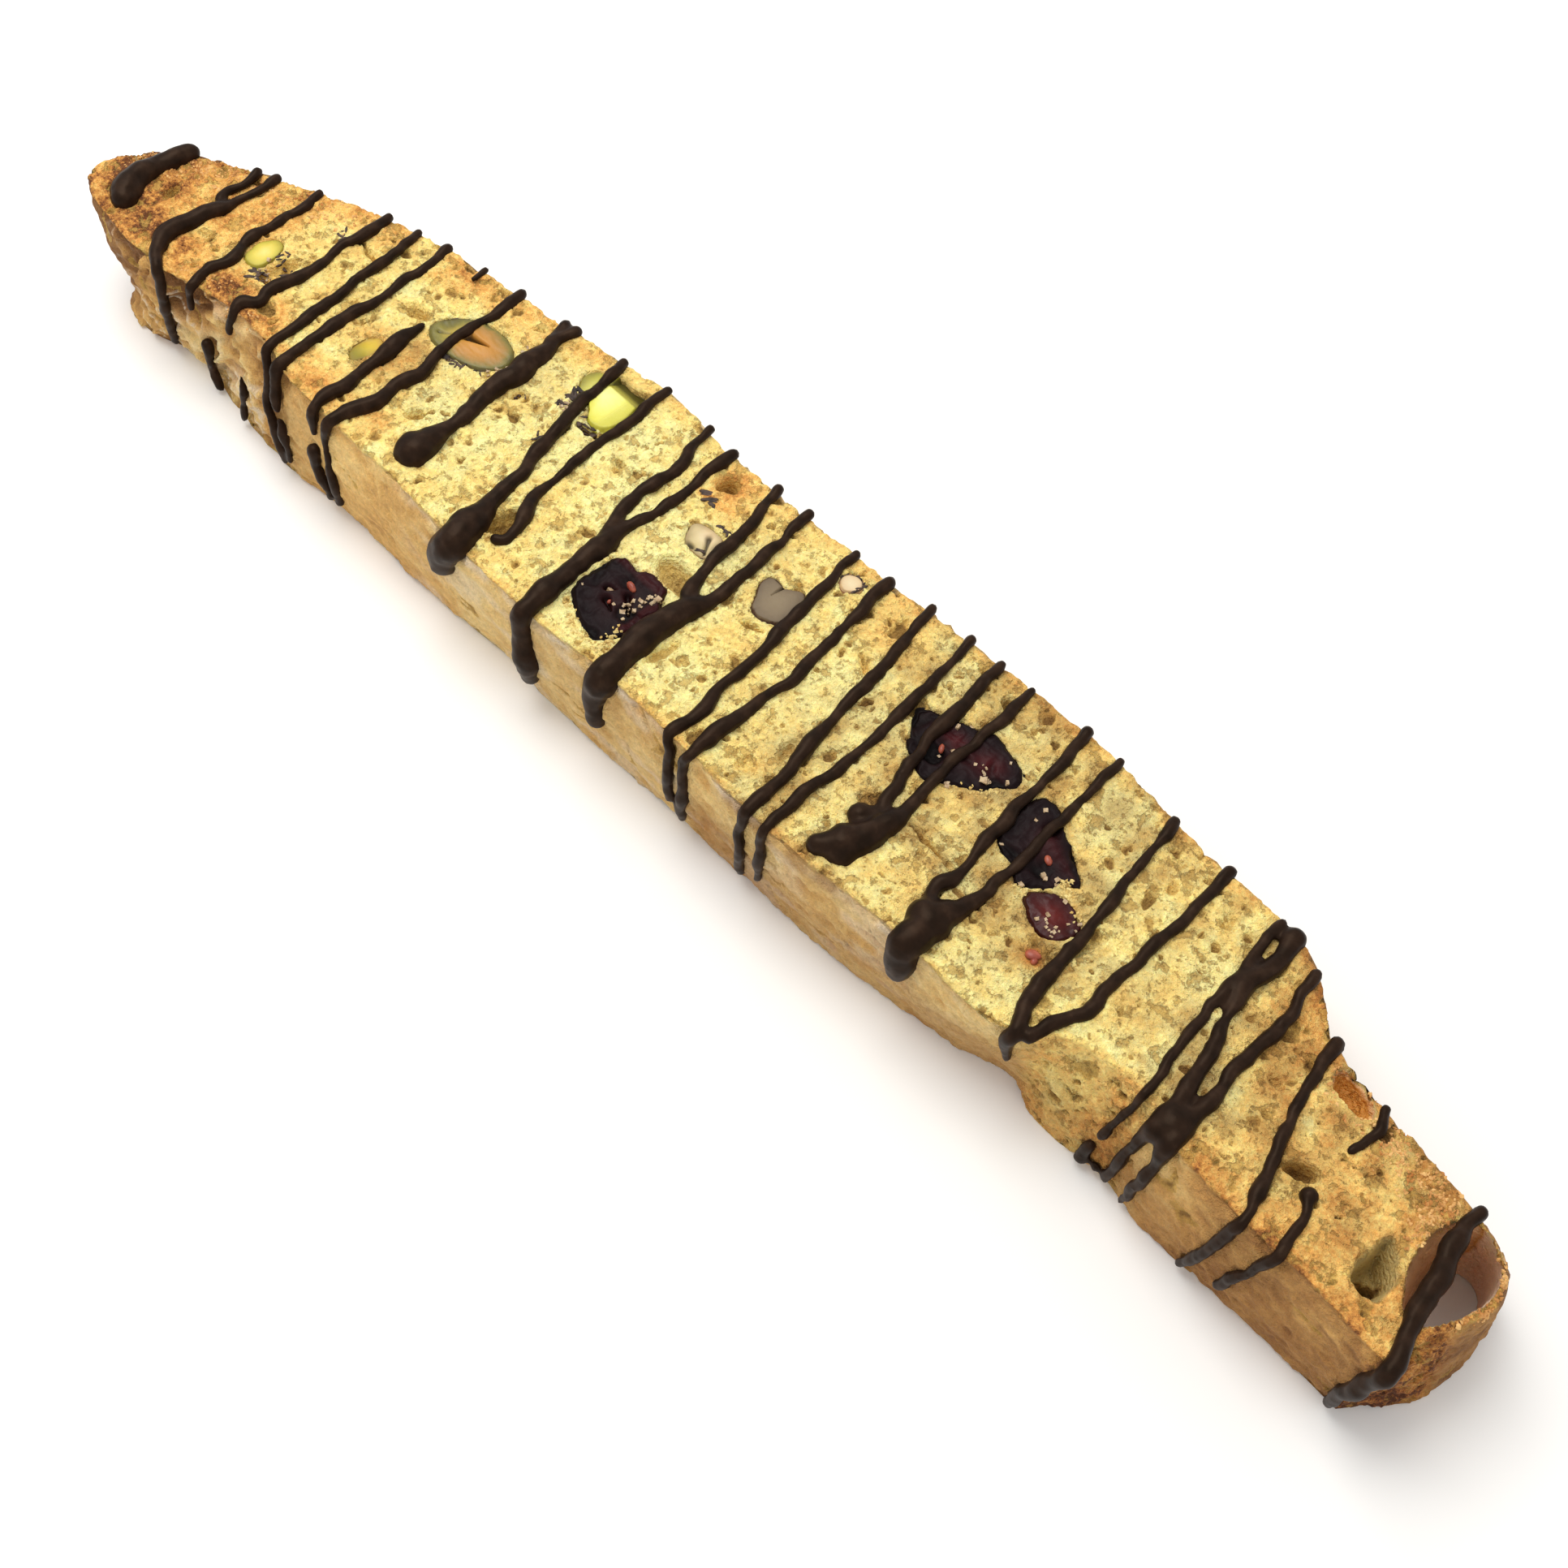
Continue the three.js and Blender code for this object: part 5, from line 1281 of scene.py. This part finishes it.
pistachios = [
    lump("pistachio_1", FINE - 1, bright_nut),
    lump("pistachio_2", FINE - 1, sunken_nut),
    lump("pistachio_3", FINE, split_nut),
    lump("pistachio_4", FINE, halved_nut),
]
for nut in pistachios:
    settle(nut)


# %% Cranberries
def wrinkled(points, seed):
    """Fine folds, as dried skin has, with a few deep ones."""
    folds = 0.22 * np.abs(noise(points / 1.3, seed)) + 0.12 * np.abs(noise(points / 0.55, seed + 1))
    return 0.16 - folds - 0.45 * smooth(noise(points / 2.2, seed + 2), 0.25, 0.7)


def opened_berry(x, y, rho, points):
    """A berry cut through its core, with its red wall standing up behind and at the right."""
    slits = groove(x, y, (82.4, 7.3), (83.4, 7.8), 0.35) + groove(x, y, (83.4, 6.3), (85.0, 5.6), 0.4)
    slits += groove(x, y, (84.6, 8.2), (86.4, 6.6), 0.4)
    ridge = smooth(y, 9.9, 10.6) + smooth(x, 86.6, 87.4) * (y > 4.5)
    return wrinkled(points, 81) + 0.25 * ridge - 0.8 * slits, np.clip(0.75 * ridge + 0.5 * slits, 0, 1)


def long_berry(x, y, rho, points):
    red = mound(x, y, (118.8, 20.6), (1.4, 1.0)) + mound(x, y, (123.4, 20.8), (1.6, 1.5)) + 0.5 * mound(x, y, (114.6, 19.8), (1, 1.4))
    return wrinkled(points, 85) - 0.25 * mound(x, y, (119.0, 19.2), (1.6, 2.4)), 0.9 * red


def folded_berry(x, y, rho, points):
    flap = groove(x, y, (132.6, 19.0), (137.6, 17.3), 0.9)
    hollow = mound(x, y, (134.4, 16.0), (1.5, 1.2))
    return wrinkled(points, 88) + 0.3 * flap - 0.55 * hollow, 0.35 * flap + 0.3 * mound(x, y, (136.4, 16.2), (0.7, 1.2))


def clear_berry(x, y, rho, points):
    return 0.5 * wrinkled(points, 91) + 0.15 * (1 - rho**2), 0.75 + 0.2 * noise(points / 1.5, 94)


cranberries = [
    lump("cranberry_1", FINE, opened_berry, 0.05),
    lump("cranberry_2", FINE, long_berry, 0.07),
    lump("cranberry_3", FINE, folded_berry, 0.06),
    lump("cranberry_4", FINE - 1, clear_berry, 0.07),
]
for berry in cranberries:
    settle(berry)


# %% Pecans
def chunky(x, y, rho, points):
    cleft = groove(x, y, (84.8, 19.2), (86.2, 17.0), 0.3) + mound(x, y, (84.2, 17.2), (0.6, 0.3))
    return 0.12 * noise(points / 0.9, 95) - 0.6 * cleft, mound(x, y, (84.6, 19.2), (1.2, 0.9))


def folded(x, y, rho, points):
    """A kernel cut across its fold: a thin dark line comes down from the notch in its rim."""
    fold = groove(x, y, (94.5, 20.9), (94.3, 18.9), 0.13) + 0.6 * groove(x, y, (94.4, 20.7), (92.8, 20.6), 0.13)
    return 0.10 * (1 - rho**4) - 0.45 * fold + 0.02 * noise(points / 1.1, 96), 0.5 + 0.5 * noise(points / 2.5, 97)


def ringed(x, y, rho, points):
    return 0.04 * noise(points / 0.9, 92) - 0.25 * np.exp(-(((rho - 0.86) / 0.06) ** 2)), 0 * x + 1


pecans = [
    lump("pecan_1", FINE - 1, chunky),
    lump("pecan_2", FINE, folded),
    lump("pecan_3", FINE - 1, ringed),
]
for nut in pecans:
    settle(nut)

# %% [markdown]
# ## Nuts and berries, the materials
# Pistachio kernels are waxy: bright yellow-green where freshly cut, greener at the rim, and brown
# where the oven reached them. Dried cranberry skin is almost black and dull, and its flesh is a clear
# dark red that shines where it is torn. Pecan flesh is a dull grey-brown inside a thin darker skin.

# %% A nut's material
def cut_kernel(name, stops, blush_and_shade_stops, mottle_mm, roughness, see_through, shine=0.3):
    """Flesh whose colour runs from its middle to its rim, with a second run of colours where a second colour shows,
    which on one nut is a painted shade, and a painted shade where the face lies low.
    """
    material, tree = new_material(name)
    place = add_node(tree, "TexCoord").outputs["Object"]
    shares = {
        key: add_node(tree, "Attribute", attribute_name=key).outputs["Fac"] for key in ("rim", "relief", "blush_and_shade")
    }
    mottling = add_node(
        tree, "TexNoise", {"Vector": place, "Scale": per(mottle_mm), "Detail": 5.0, "Roughness": 0.65}
    )
    shift = add_node(tree, "MapRange", {"Value": mottling.outputs["Fac"], "To Min": -0.22, "To Max": 0.22})
    here = add_node(tree, "Math", {0: shares["rim"], 1: shift.outputs["Result"]}, operation="ADD")
    plain = add_node(tree, "ValToRGB", {"Fac": here.outputs["Value"]})
    set_ramp(plain, stops)
    warm = add_node(tree, "ValToRGB", {"Fac": here.outputs["Value"]})
    set_ramp(warm, blush_and_shade_stops)
    flesh = add_node(
        tree,
        "Mix",
        {"Factor": shares["blush_and_shade"], "A": plain.outputs["Color"], "B": warm.outputs["Color"]},
        data_type="RGBA",
    )
    # Where the face lies low, in grooves, slits and seams, the flesh colour is scaled down, a painted shade.
    deep = add_node(
        tree,
        "MapRange",
        {"Value": shares["relief"], "From Min": 0.05, "From Max": 0.42, "To Min": 0.18, "To Max": 1.0},
    )
    shaded = add_node(tree, "VectorMath", {0: flesh, "Scale": deep}, operation="SCALE")
    fibre = add_node(tree, "TexNoise", {"Vector": place, "Scale": per(0.45), "Detail": 4.0, "Roughness": 0.7})
    bump = add_node(tree, "Bump", {"Height": fibre.outputs["Fac"], "Strength": 0.4, "Distance": 0.00012})
    polish = add_node(
        tree,
        "MapRange",
        {"Value": shares["blush_and_shade"], "To Min": roughness[0], "To Max": roughness[1]},
    )
    shader = add_node(
        tree,
        "BsdfPrincipled",
        {
            "Base Color": shaded,
            "Roughness": polish.outputs["Result"],
            "Normal": bump,
            "Subsurface Weight": see_through,
            "Subsurface Radius": (0.001, 0.0006, 0.0003),
            "Subsurface Scale": 0.5,
            "Specular IOR Level": shine,
        },
    )
    add_node(tree, "OutputMaterial", {"Surface": shader})
    print("material:", material.name)
    return material


# %% Dress the nuts and berries
fresh_nut = cut_kernel(
    "pistachio_kernel_fresh_cut",
    [(0.0, "#edd97c"), (0.45, "#e0cc5a"), (0.75, "#cbbb48"), (0.93, "#a29838"), (1.0, "#7c7130")],
    [(0.0, "#d8c754"), (0.5, "#cab845"), (0.93, "#9f9137"), (1.0, "#7c7130")],
    1.8, (0.42, 0.45), 0.2,
)
sunken = cut_kernel(
    "pistachio_kernel_in_shade",
    [(0.0, "#dcc03a"), (0.6, "#cfae34"), (0.9, "#b3933c"), (1.0, "#94783b")],
    [(0.0, "#9f9122"), (0.6, "#928524"), (0.9, "#8b7932"), (1.0, "#7d6a34")],
    1.4, (0.4, 0.5), 0.2,
)
browned_nut = cut_kernel(
    "pistachio_kernel_oven_browned",
    [(0.0, "#b9a044"), (0.55, "#ad9842"), (0.78, "#887f3b"), (0.92, "#6c6636"), (1.0, "#584c34")],
    [(0.0, "#c98f40"), (0.45, "#bd853b"), (0.7, "#a47d3e"), (0.86, "#80743b"), (1.0, "#584d36")],
    1.6, (0.34, 0.34), 0.12,
)
# Its second run of colours is a painted shade, for the facets of the halved nut that it darkens.
block_nut = cut_kernel(
    "pistachio_kernel_waxy_block",
    [(0.0, "#f6f2a0"), (0.5, "#eae573"), (0.85, "#dcd650"), (1.0, "#b3ad3e")],
    [(0.0, "#a89f3c"), (0.7, "#a0973a"), (1.0, "#7f7733")],
    2.4, (0.25, 0.4), 0.2,
)
berry_skin = cut_kernel(
    "cranberry_dried_skin_and_flesh",
    [(0.0, "#2b1516"), (0.4, "#221214"), (0.75, "#190e10"), (1.0, "#140a0b")],
    [(0.0, "#591518"), (0.5, "#431114"), (1.0, "#2e0d10")],
    0.9, (0.5, 0.32), 0.05, 0.09,
)
berry_flesh = cut_kernel(
    "cranberry_dried_clear_flesh",
    [(0.0, "#3c0d0c"), (0.5, "#2e0a0a"), (1.0, "#22080a")],
    [(0.0, "#64150f"), (0.5, "#4c100d"), (1.0, "#330b0c")],
    1.0, (0.36, 0.3), 0.1, 0.2,
)
pecan_flesh = cut_kernel(
    "pecan_kernel_baked",
    [(0.0, "#807057"), (0.6, "#75654e"), (0.88, "#685843"), (0.94, "#4a3022"), (1.0, "#40291c")],
    [(0.0, "#8e7d61"), (0.6, "#847257"), (0.88, "#74634a"), (0.94, "#4a3022"), (1.0, "#40291c")],
    1.2, (0.5, 0.5), 0.08,
)
pale_pecan = cut_kernel(
    "pecan_kernel_pale",
    [(0.0, "#d8c694"), (0.6, "#c8b584"), (0.9, "#a9946a"), (1.0, "#8a6f4c")],
    [(0.0, "#e8d6ae"), (0.6, "#dfc59a"), (0.84, "#cfae82"), (0.9, "#8e6244"), (1.0, "#b9976a")],
    1.4, (0.6, 0.6), 0.1,
)
dressing = [
    (pistachios, [fresh_nut, sunken, browned_nut, block_nut], "pistachio"),
    (cranberries, [berry_skin, berry_skin, berry_skin, berry_flesh], "cranberry"),
    (pecans, [pale_pecan, pecan_flesh, pale_pecan], "pecan"),
]
for pieces, materials, slot in dressing:
    for piece, material in zip(pieces, materials):
        dress(piece, material, slot, piece.name.removesuffix("_flesh"))
print("dressed", sum(len(pieces) for pieces, _, _ in dressing), "nuts and berries")

# %% [markdown]
# ## What the knife scattered
# A sawn slice is never clean. Sugar set in the berries as pale crystals, crumbs were dragged over
# their rims and over the burnt edge of the heel, nut skins broke into dark flakes, and a few berry
# seeds show. One grain of each kind is shaped from a primitive, and its copies are laid down one by
# one where they show and by a seeded draw along the edges. Each copy is dropped from above, so it lies on
# whatever is under it, and one that would miss the slice or fall deep into a hollow is left out.

# %% Lay grains
DEEPEST_LANDING = 1.3  # under the cut face
grounds = [
    BVHTree.FromPolygons([v.co for v in piece.data.vertices], [p.vertices for p in piece.data.polygons])
    for piece in [slice_body, chocolate, *pistachios, *cranberries, *pecans]
]


def ground_at(x, y):
    """The height in mm of the highest surface at a place, and whether it is chocolate."""
    start = Vector(((x - MIDDLE[0]) * MM, (y - MIDDLE[1]) * MM, 2 * THICK * MM))
    hits = [ground.ray_cast(start, Vector((0, 0, -1)))[0] for ground in grounds]
    return max(((hit.z / MM, n == 1) for n, hit in enumerate(hits) if hit is not None), default=(0, False))


def laid(name, grain, places, chipped, sunk, seed):
    """One mesh of many copies of a grain. places are rows of x, y and size in mm."""
    draw = np.random.default_rng(seed)
    shape = coords(grain)
    faces = [tuple(face.vertices) for face in grain.data.polygons]
    bpy.data.objects.remove(grain)
    points, all_faces = [], []
    for x, y, size in places:
        turn = Matrix.Rotation(draw.uniform(0, 2 * math.pi), 3, "Z")
        tilt = Matrix.Rotation(draw.uniform(-0.5, 0.5), 3, "X")
        stretch = draw.uniform(0.7, 1.25, 3)
        chips = draw.uniform(1 - chipped, 1 + chipped, (len(shape), 1))
        ground, on_chocolate = ground_at(x, y)
        if on_chocolate or ground < THICK - DEEPEST_LANDING:
            continue
        all_faces += [tuple(v + len(points) * len(shape) for v in face) for face in faces]
        points.append((shape * chips * stretch * size) @ np.array(turn @ tilt).T + (x, y, ground - sunk * size))
    bpy.ops.mesh.primitive_cube_add()
    piece = named(name)
    piece.data = bpy.data.meshes.new(name)
    piece.data.from_pydata(np.concatenate(points).tolist(), [], all_faces)
    return settle(piece)


def along_line(line, count, spread, size, seed):
    """Random places beside a line of points."""
    draw = np.random.default_rng(seed)
    line = np.array(line, float)
    t = draw.uniform(0, len(line) - 1.001, count)
    i = t.astype(int)
    at = line[i] + (line[i + 1] - line[i]) * (t - i)[:, None] + draw.normal(0, spread, (count, 2))
    return [(x, y, s) for (x, y), s in zip(at, draw.uniform(0.6, 1.3, count) * size)]


print("height over a strand, mm:", round(ground_at(89.5, 9.5)[0], 1))

# %% Crystals
bpy.ops.mesh.primitive_cube_add(size=1)
crystal = named("crystal")
apply_modifier(crystal, "BEVEL", width=0.12, segments=1)
crystals = laid(
    "sugar_crystals",
    crystal,
    [
        (82.7, 7.5, 0.5), (85.2, 7.6, 0.5), (85.6, 6.6, 0.6), (86.1, 8.7, 0.5), (86.3, 5.9, 0.4), (87.2, 9.9, 0.6),
        (86.4, 7.4, 0.35), (85.8, 7.1, 0.35), (85.5, 8.1, 0.35), (80.6, 5.6, 0.25), (118.1, 21.6, 0.45),
        (118.9, 22.8, 0.35), (119.6, 19.3, 0.35), (118.9, 18.2, 0.3), (124.0, 19.1, 0.6), (124.3, 19.3, 0.4),
        (125.7, 20.6, 0.4), (121.7, 16.4, 0.5), (122.0, 16.0, 0.4), (123.4, 19.8, 0.3), (124.4, 22.5, 0.25),
        (130.3, 21.1, 0.4), (130.4, 19.6, 0.3), (129.9, 15.4, 0.35), (134.2, 13.5, 0.4), (136.2, 16.4, 0.55),
        (136.5, 15.9, 0.4), (134.9, 15.9, 0.6), (135.3, 15.6, 0.4), (138.2, 12.8, 0.45), (137.7, 11.8, 0.4),
        (140.9, 14.3, 0.4), (138.3, 15.1, 0.4), (139.6, 12.4, 0.3), (140.1, 13.6, 0.3), (89.3, 25.7, 0.3),
    ]
    + along_line([(52.6, 22.6), (53.8, 20.6), (53.9, 18.6), (52.8, 16.8)], 40, 0.3, 0.3, 501)
    + along_line([(24.4, 8.0), (26.6, 7.0)], 22, 0.5, 0.3, 502)
    + along_line([(60.9, 20.2), (62.6, 19.3)], 20, 0.35, 0.3, 503)
    + along_line([(84.6, 6.4), (86.6, 8.6), (87.0, 10.0)], 20, 0.3, 0.28, 505)
    + along_line([(138.0, 12.2), (139.6, 11.8), (141.0, 13.4)], 9, 0.3, 0.26, 506)
    + along_line([(122.6, 20.2), (124.8, 19.6)], 10, 0.3, 0.25, 507),
    0.35,
    0.1,
    504,
)
bpy.ops.object.shade_flat()

# %% Crumbs
bpy.ops.mesh.primitive_ico_sphere_add(subdivisions=1, radius=0.5)
crumbs = laid(
    "loose_crumbs",
    named("crumb"),
    along_line([(87.2, 4.4), (87.6, 3.0), (87.0, 2.0)], 40, 0.35, 0.4, 511)
    + along_line([(83.2, 11.4), (84.2, 12.1), (87.4, 11.6)], 50, 0.2, 0.35, 512)
    + along_line([(136.9, 16.9), (138.0, 15.9), (141.2, 14.8)], 60, 0.35, 0.4, 513)
    + along_line([(135.0, 13.4), (134.0, 12.8)], 20, 0.3, 0.35, 514)
    + along_line([(125.4, 19.2), (125.0, 18.0), (122.4, 16.0)], 40, 0.3, 0.35, 515)
    + along_line([(80.6, 3.4), (84.0, 1.8), (87.2, 1.6)], 50, 0.3, 0.4, 516)
    + along_line([(70.8, 3.0), (68.6, 2.0), (67.8, 1.4)], 40, 0.3, 0.4, 517)
    + along_line([(91.0, 2.6), (92.6, 1.6)], 30, 0.5, 0.5, 519),
    0.45,
    0.15,
    524,
)
bpy.ops.object.shade_flat()
bpy.ops.mesh.primitive_ico_sphere_add(subdivisions=1, radius=0.5)
toasted_crumbs = laid(
    "toasted_crumbs",
    named("crumb"),
    along_line([(165, 21.6), (172, 19.0), (178, 18.2), (183.0, 17.2)], 420, 1.1, 0.42, 520)
    + along_line([(182.0, 17.6), (181.0, 14.8), (181.2, 12.6)], 90, 0.5, 0.4, 521)
    + along_line([(188.9, 9.5), (189.6, 13.0), (189.2, 16.0), (186.8, 18.4)], 120, 0.35, 0.4, 522)
    + along_line([(2, 7.0), (6, 11.0), (14, 15.0), (26, 19.6)], 420, 1.3, 0.42, 523)
    + along_line([(18, 1.6), (24, 2.8), (30, 2.8)], 70, 0.9, 0.36, 525),
    0.45,
    0.25,
    526,
)
bpy.ops.object.shade_flat()

# %% Skins and seeds
bpy.ops.mesh.primitive_ico_sphere_add(subdivisions=2, radius=0.5)
flake = named("flake")
bpy.ops.transform.resize(value=(1.5, 0.55, 0.22))
bpy.ops.object.transform_apply(location=False, rotation=False, scale=True)
skins = laid(
    "nut_skins",
    flake,
    along_line([(24.4, 11.6), (25.4, 9.8), (26.8, 8.8)], 16, 0.4, 0.7, 531)
    + along_line([(24.2, 7.2), (26.6, 6.4)], 14, 0.4, 0.8, 532)
    + along_line([(60.4, 22.4), (61.6, 21.2), (62.8, 20.4), (63.6, 19.4)], 24, 0.25, 0.9, 533)
    + along_line([(64.2, 19.5), (67.0, 19.6)], 22, 0.28, 0.9, 534)
    + along_line([(60.6, 19.6), (62.4, 19.0)], 9, 0.3, 0.7, 535)
    + along_line([(47.4, 14.5), (50.6, 15.2), (52.6, 16.4)], 16, 0.2, 0.6, 536)
    + along_line([(26.0, 17.8), (27.4, 16.4)], 7, 0.35, 0.7, 537)
    + along_line([(84.4, 21.0), (85.8, 21.1)], 7, 0.12, 0.6, 538)
    + along_line([(85.4, 17.6), (86.4, 16.8)], 5, 0.2, 0.7, 539)
    + along_line([(56.4, 16.8), (57.6, 17.1)], 5, 0.2, 0.6, 540)
    + along_line([(62.4, 15.2), (63.6, 14.7)], 4, 0.15, 0.7, 541)
    + along_line([(80.2, 23.0), (82.0, 22.4)], 6, 0.1, 0.9, 542)
    + along_line([(97.3, 26.2), (98.2, 27.3), (99.8, 27.2), (99.5, 25.4)], 22, 0.05, 0.5, 543),
    0.25,
    0.0,
    544,
)
bpy.ops.mesh.primitive_uv_sphere_add(segments=12, ring_count=8, radius=0.5)
seed_grain = named("seed")
bpy.ops.transform.resize(value=(1.0, 0.7, 0.6))
bpy.ops.object.transform_apply(location=False, rotation=False, scale=True)
seeds = laid(
    "berry_seeds",
    seed_grain,
    [(84.1, 9.1, 1.3), (118.6, 18.8, 0.9), (134.2, 17.3, 1.3), (140.1, 8.7, 1.6), (140.6, 8.3, 1.0),
     (83.8, 6.4, 0.7)],
    0.06,
    -0.05,
    551,
)


# %% [markdown]
# These grains are small, so each kind needs one plain finish: frosted sugar, dry crumb, papery skin
# and waxy seed, each broken up by a noise of about its own size.

# %% Materials of the grains
def speckled(name, dark_shade, light_shade, size_mm, roughness, see_through):
    material, tree = new_material(name)
    place = add_node(tree, "TexCoord").outputs["Object"]
    spots = add_node(tree, "TexNoise", {"Vector": place, "Scale": per(size_mm), "Detail": 3.0})
    ramp = add_node(tree, "ValToRGB", {"Fac": spots.outputs["Fac"]})
    set_ramp(ramp, [(0.35, dark_shade), (0.65, light_shade)])
    rough = add_node(tree, "Bump", {"Height": spots.outputs["Fac"], "Strength": 0.3, "Distance": 0.0001})
    shader = add_node(
        tree,
        "BsdfPrincipled",
        {
            "Base Color": ramp.outputs["Color"],
            "Roughness": roughness,
            "Normal": rough,
            "Subsurface Weight": see_through,
            "Subsurface Radius": (0.0008, 0.0006, 0.0004),
            "Subsurface Scale": 0.5,
        },
    )
    add_node(tree, "OutputMaterial", {"Surface": shader})
    return material


for piece, material, slot in (
    (crystals, speckled("sugar_frosted", "#a08260", "#cdb48e", 0.5, 0.45, 0.3), "crumb"),
    (crumbs, speckled("crumb_dry_pale", "#cda75c", "#ecd58c", 1.4, 0.9, 0.15), "crumb"),
    (toasted_crumbs, speckled("crumb_dry_toasted", "#c08040", "#f0c07a", 1.8, 0.9, 0.1), "crumb"),
    (skins, speckled("nut_skin_papery", "#231712", "#5c473b", 1.1, 0.7, 0.0), "pistachio"),
    (seeds, speckled("berry_seed_waxy", "#8c3a27", "#b05a40", 0.8, 0.4, 0.15), "cranberry"),
):
    dress(piece, material, slot)
print("grains dressed")

# %% Join the slice and its chocolate to the frame
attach(slice_body, "root")
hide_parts("biscuit")
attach(chocolate, "root")
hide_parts("biscuit")
print("pieces ride on the frame")
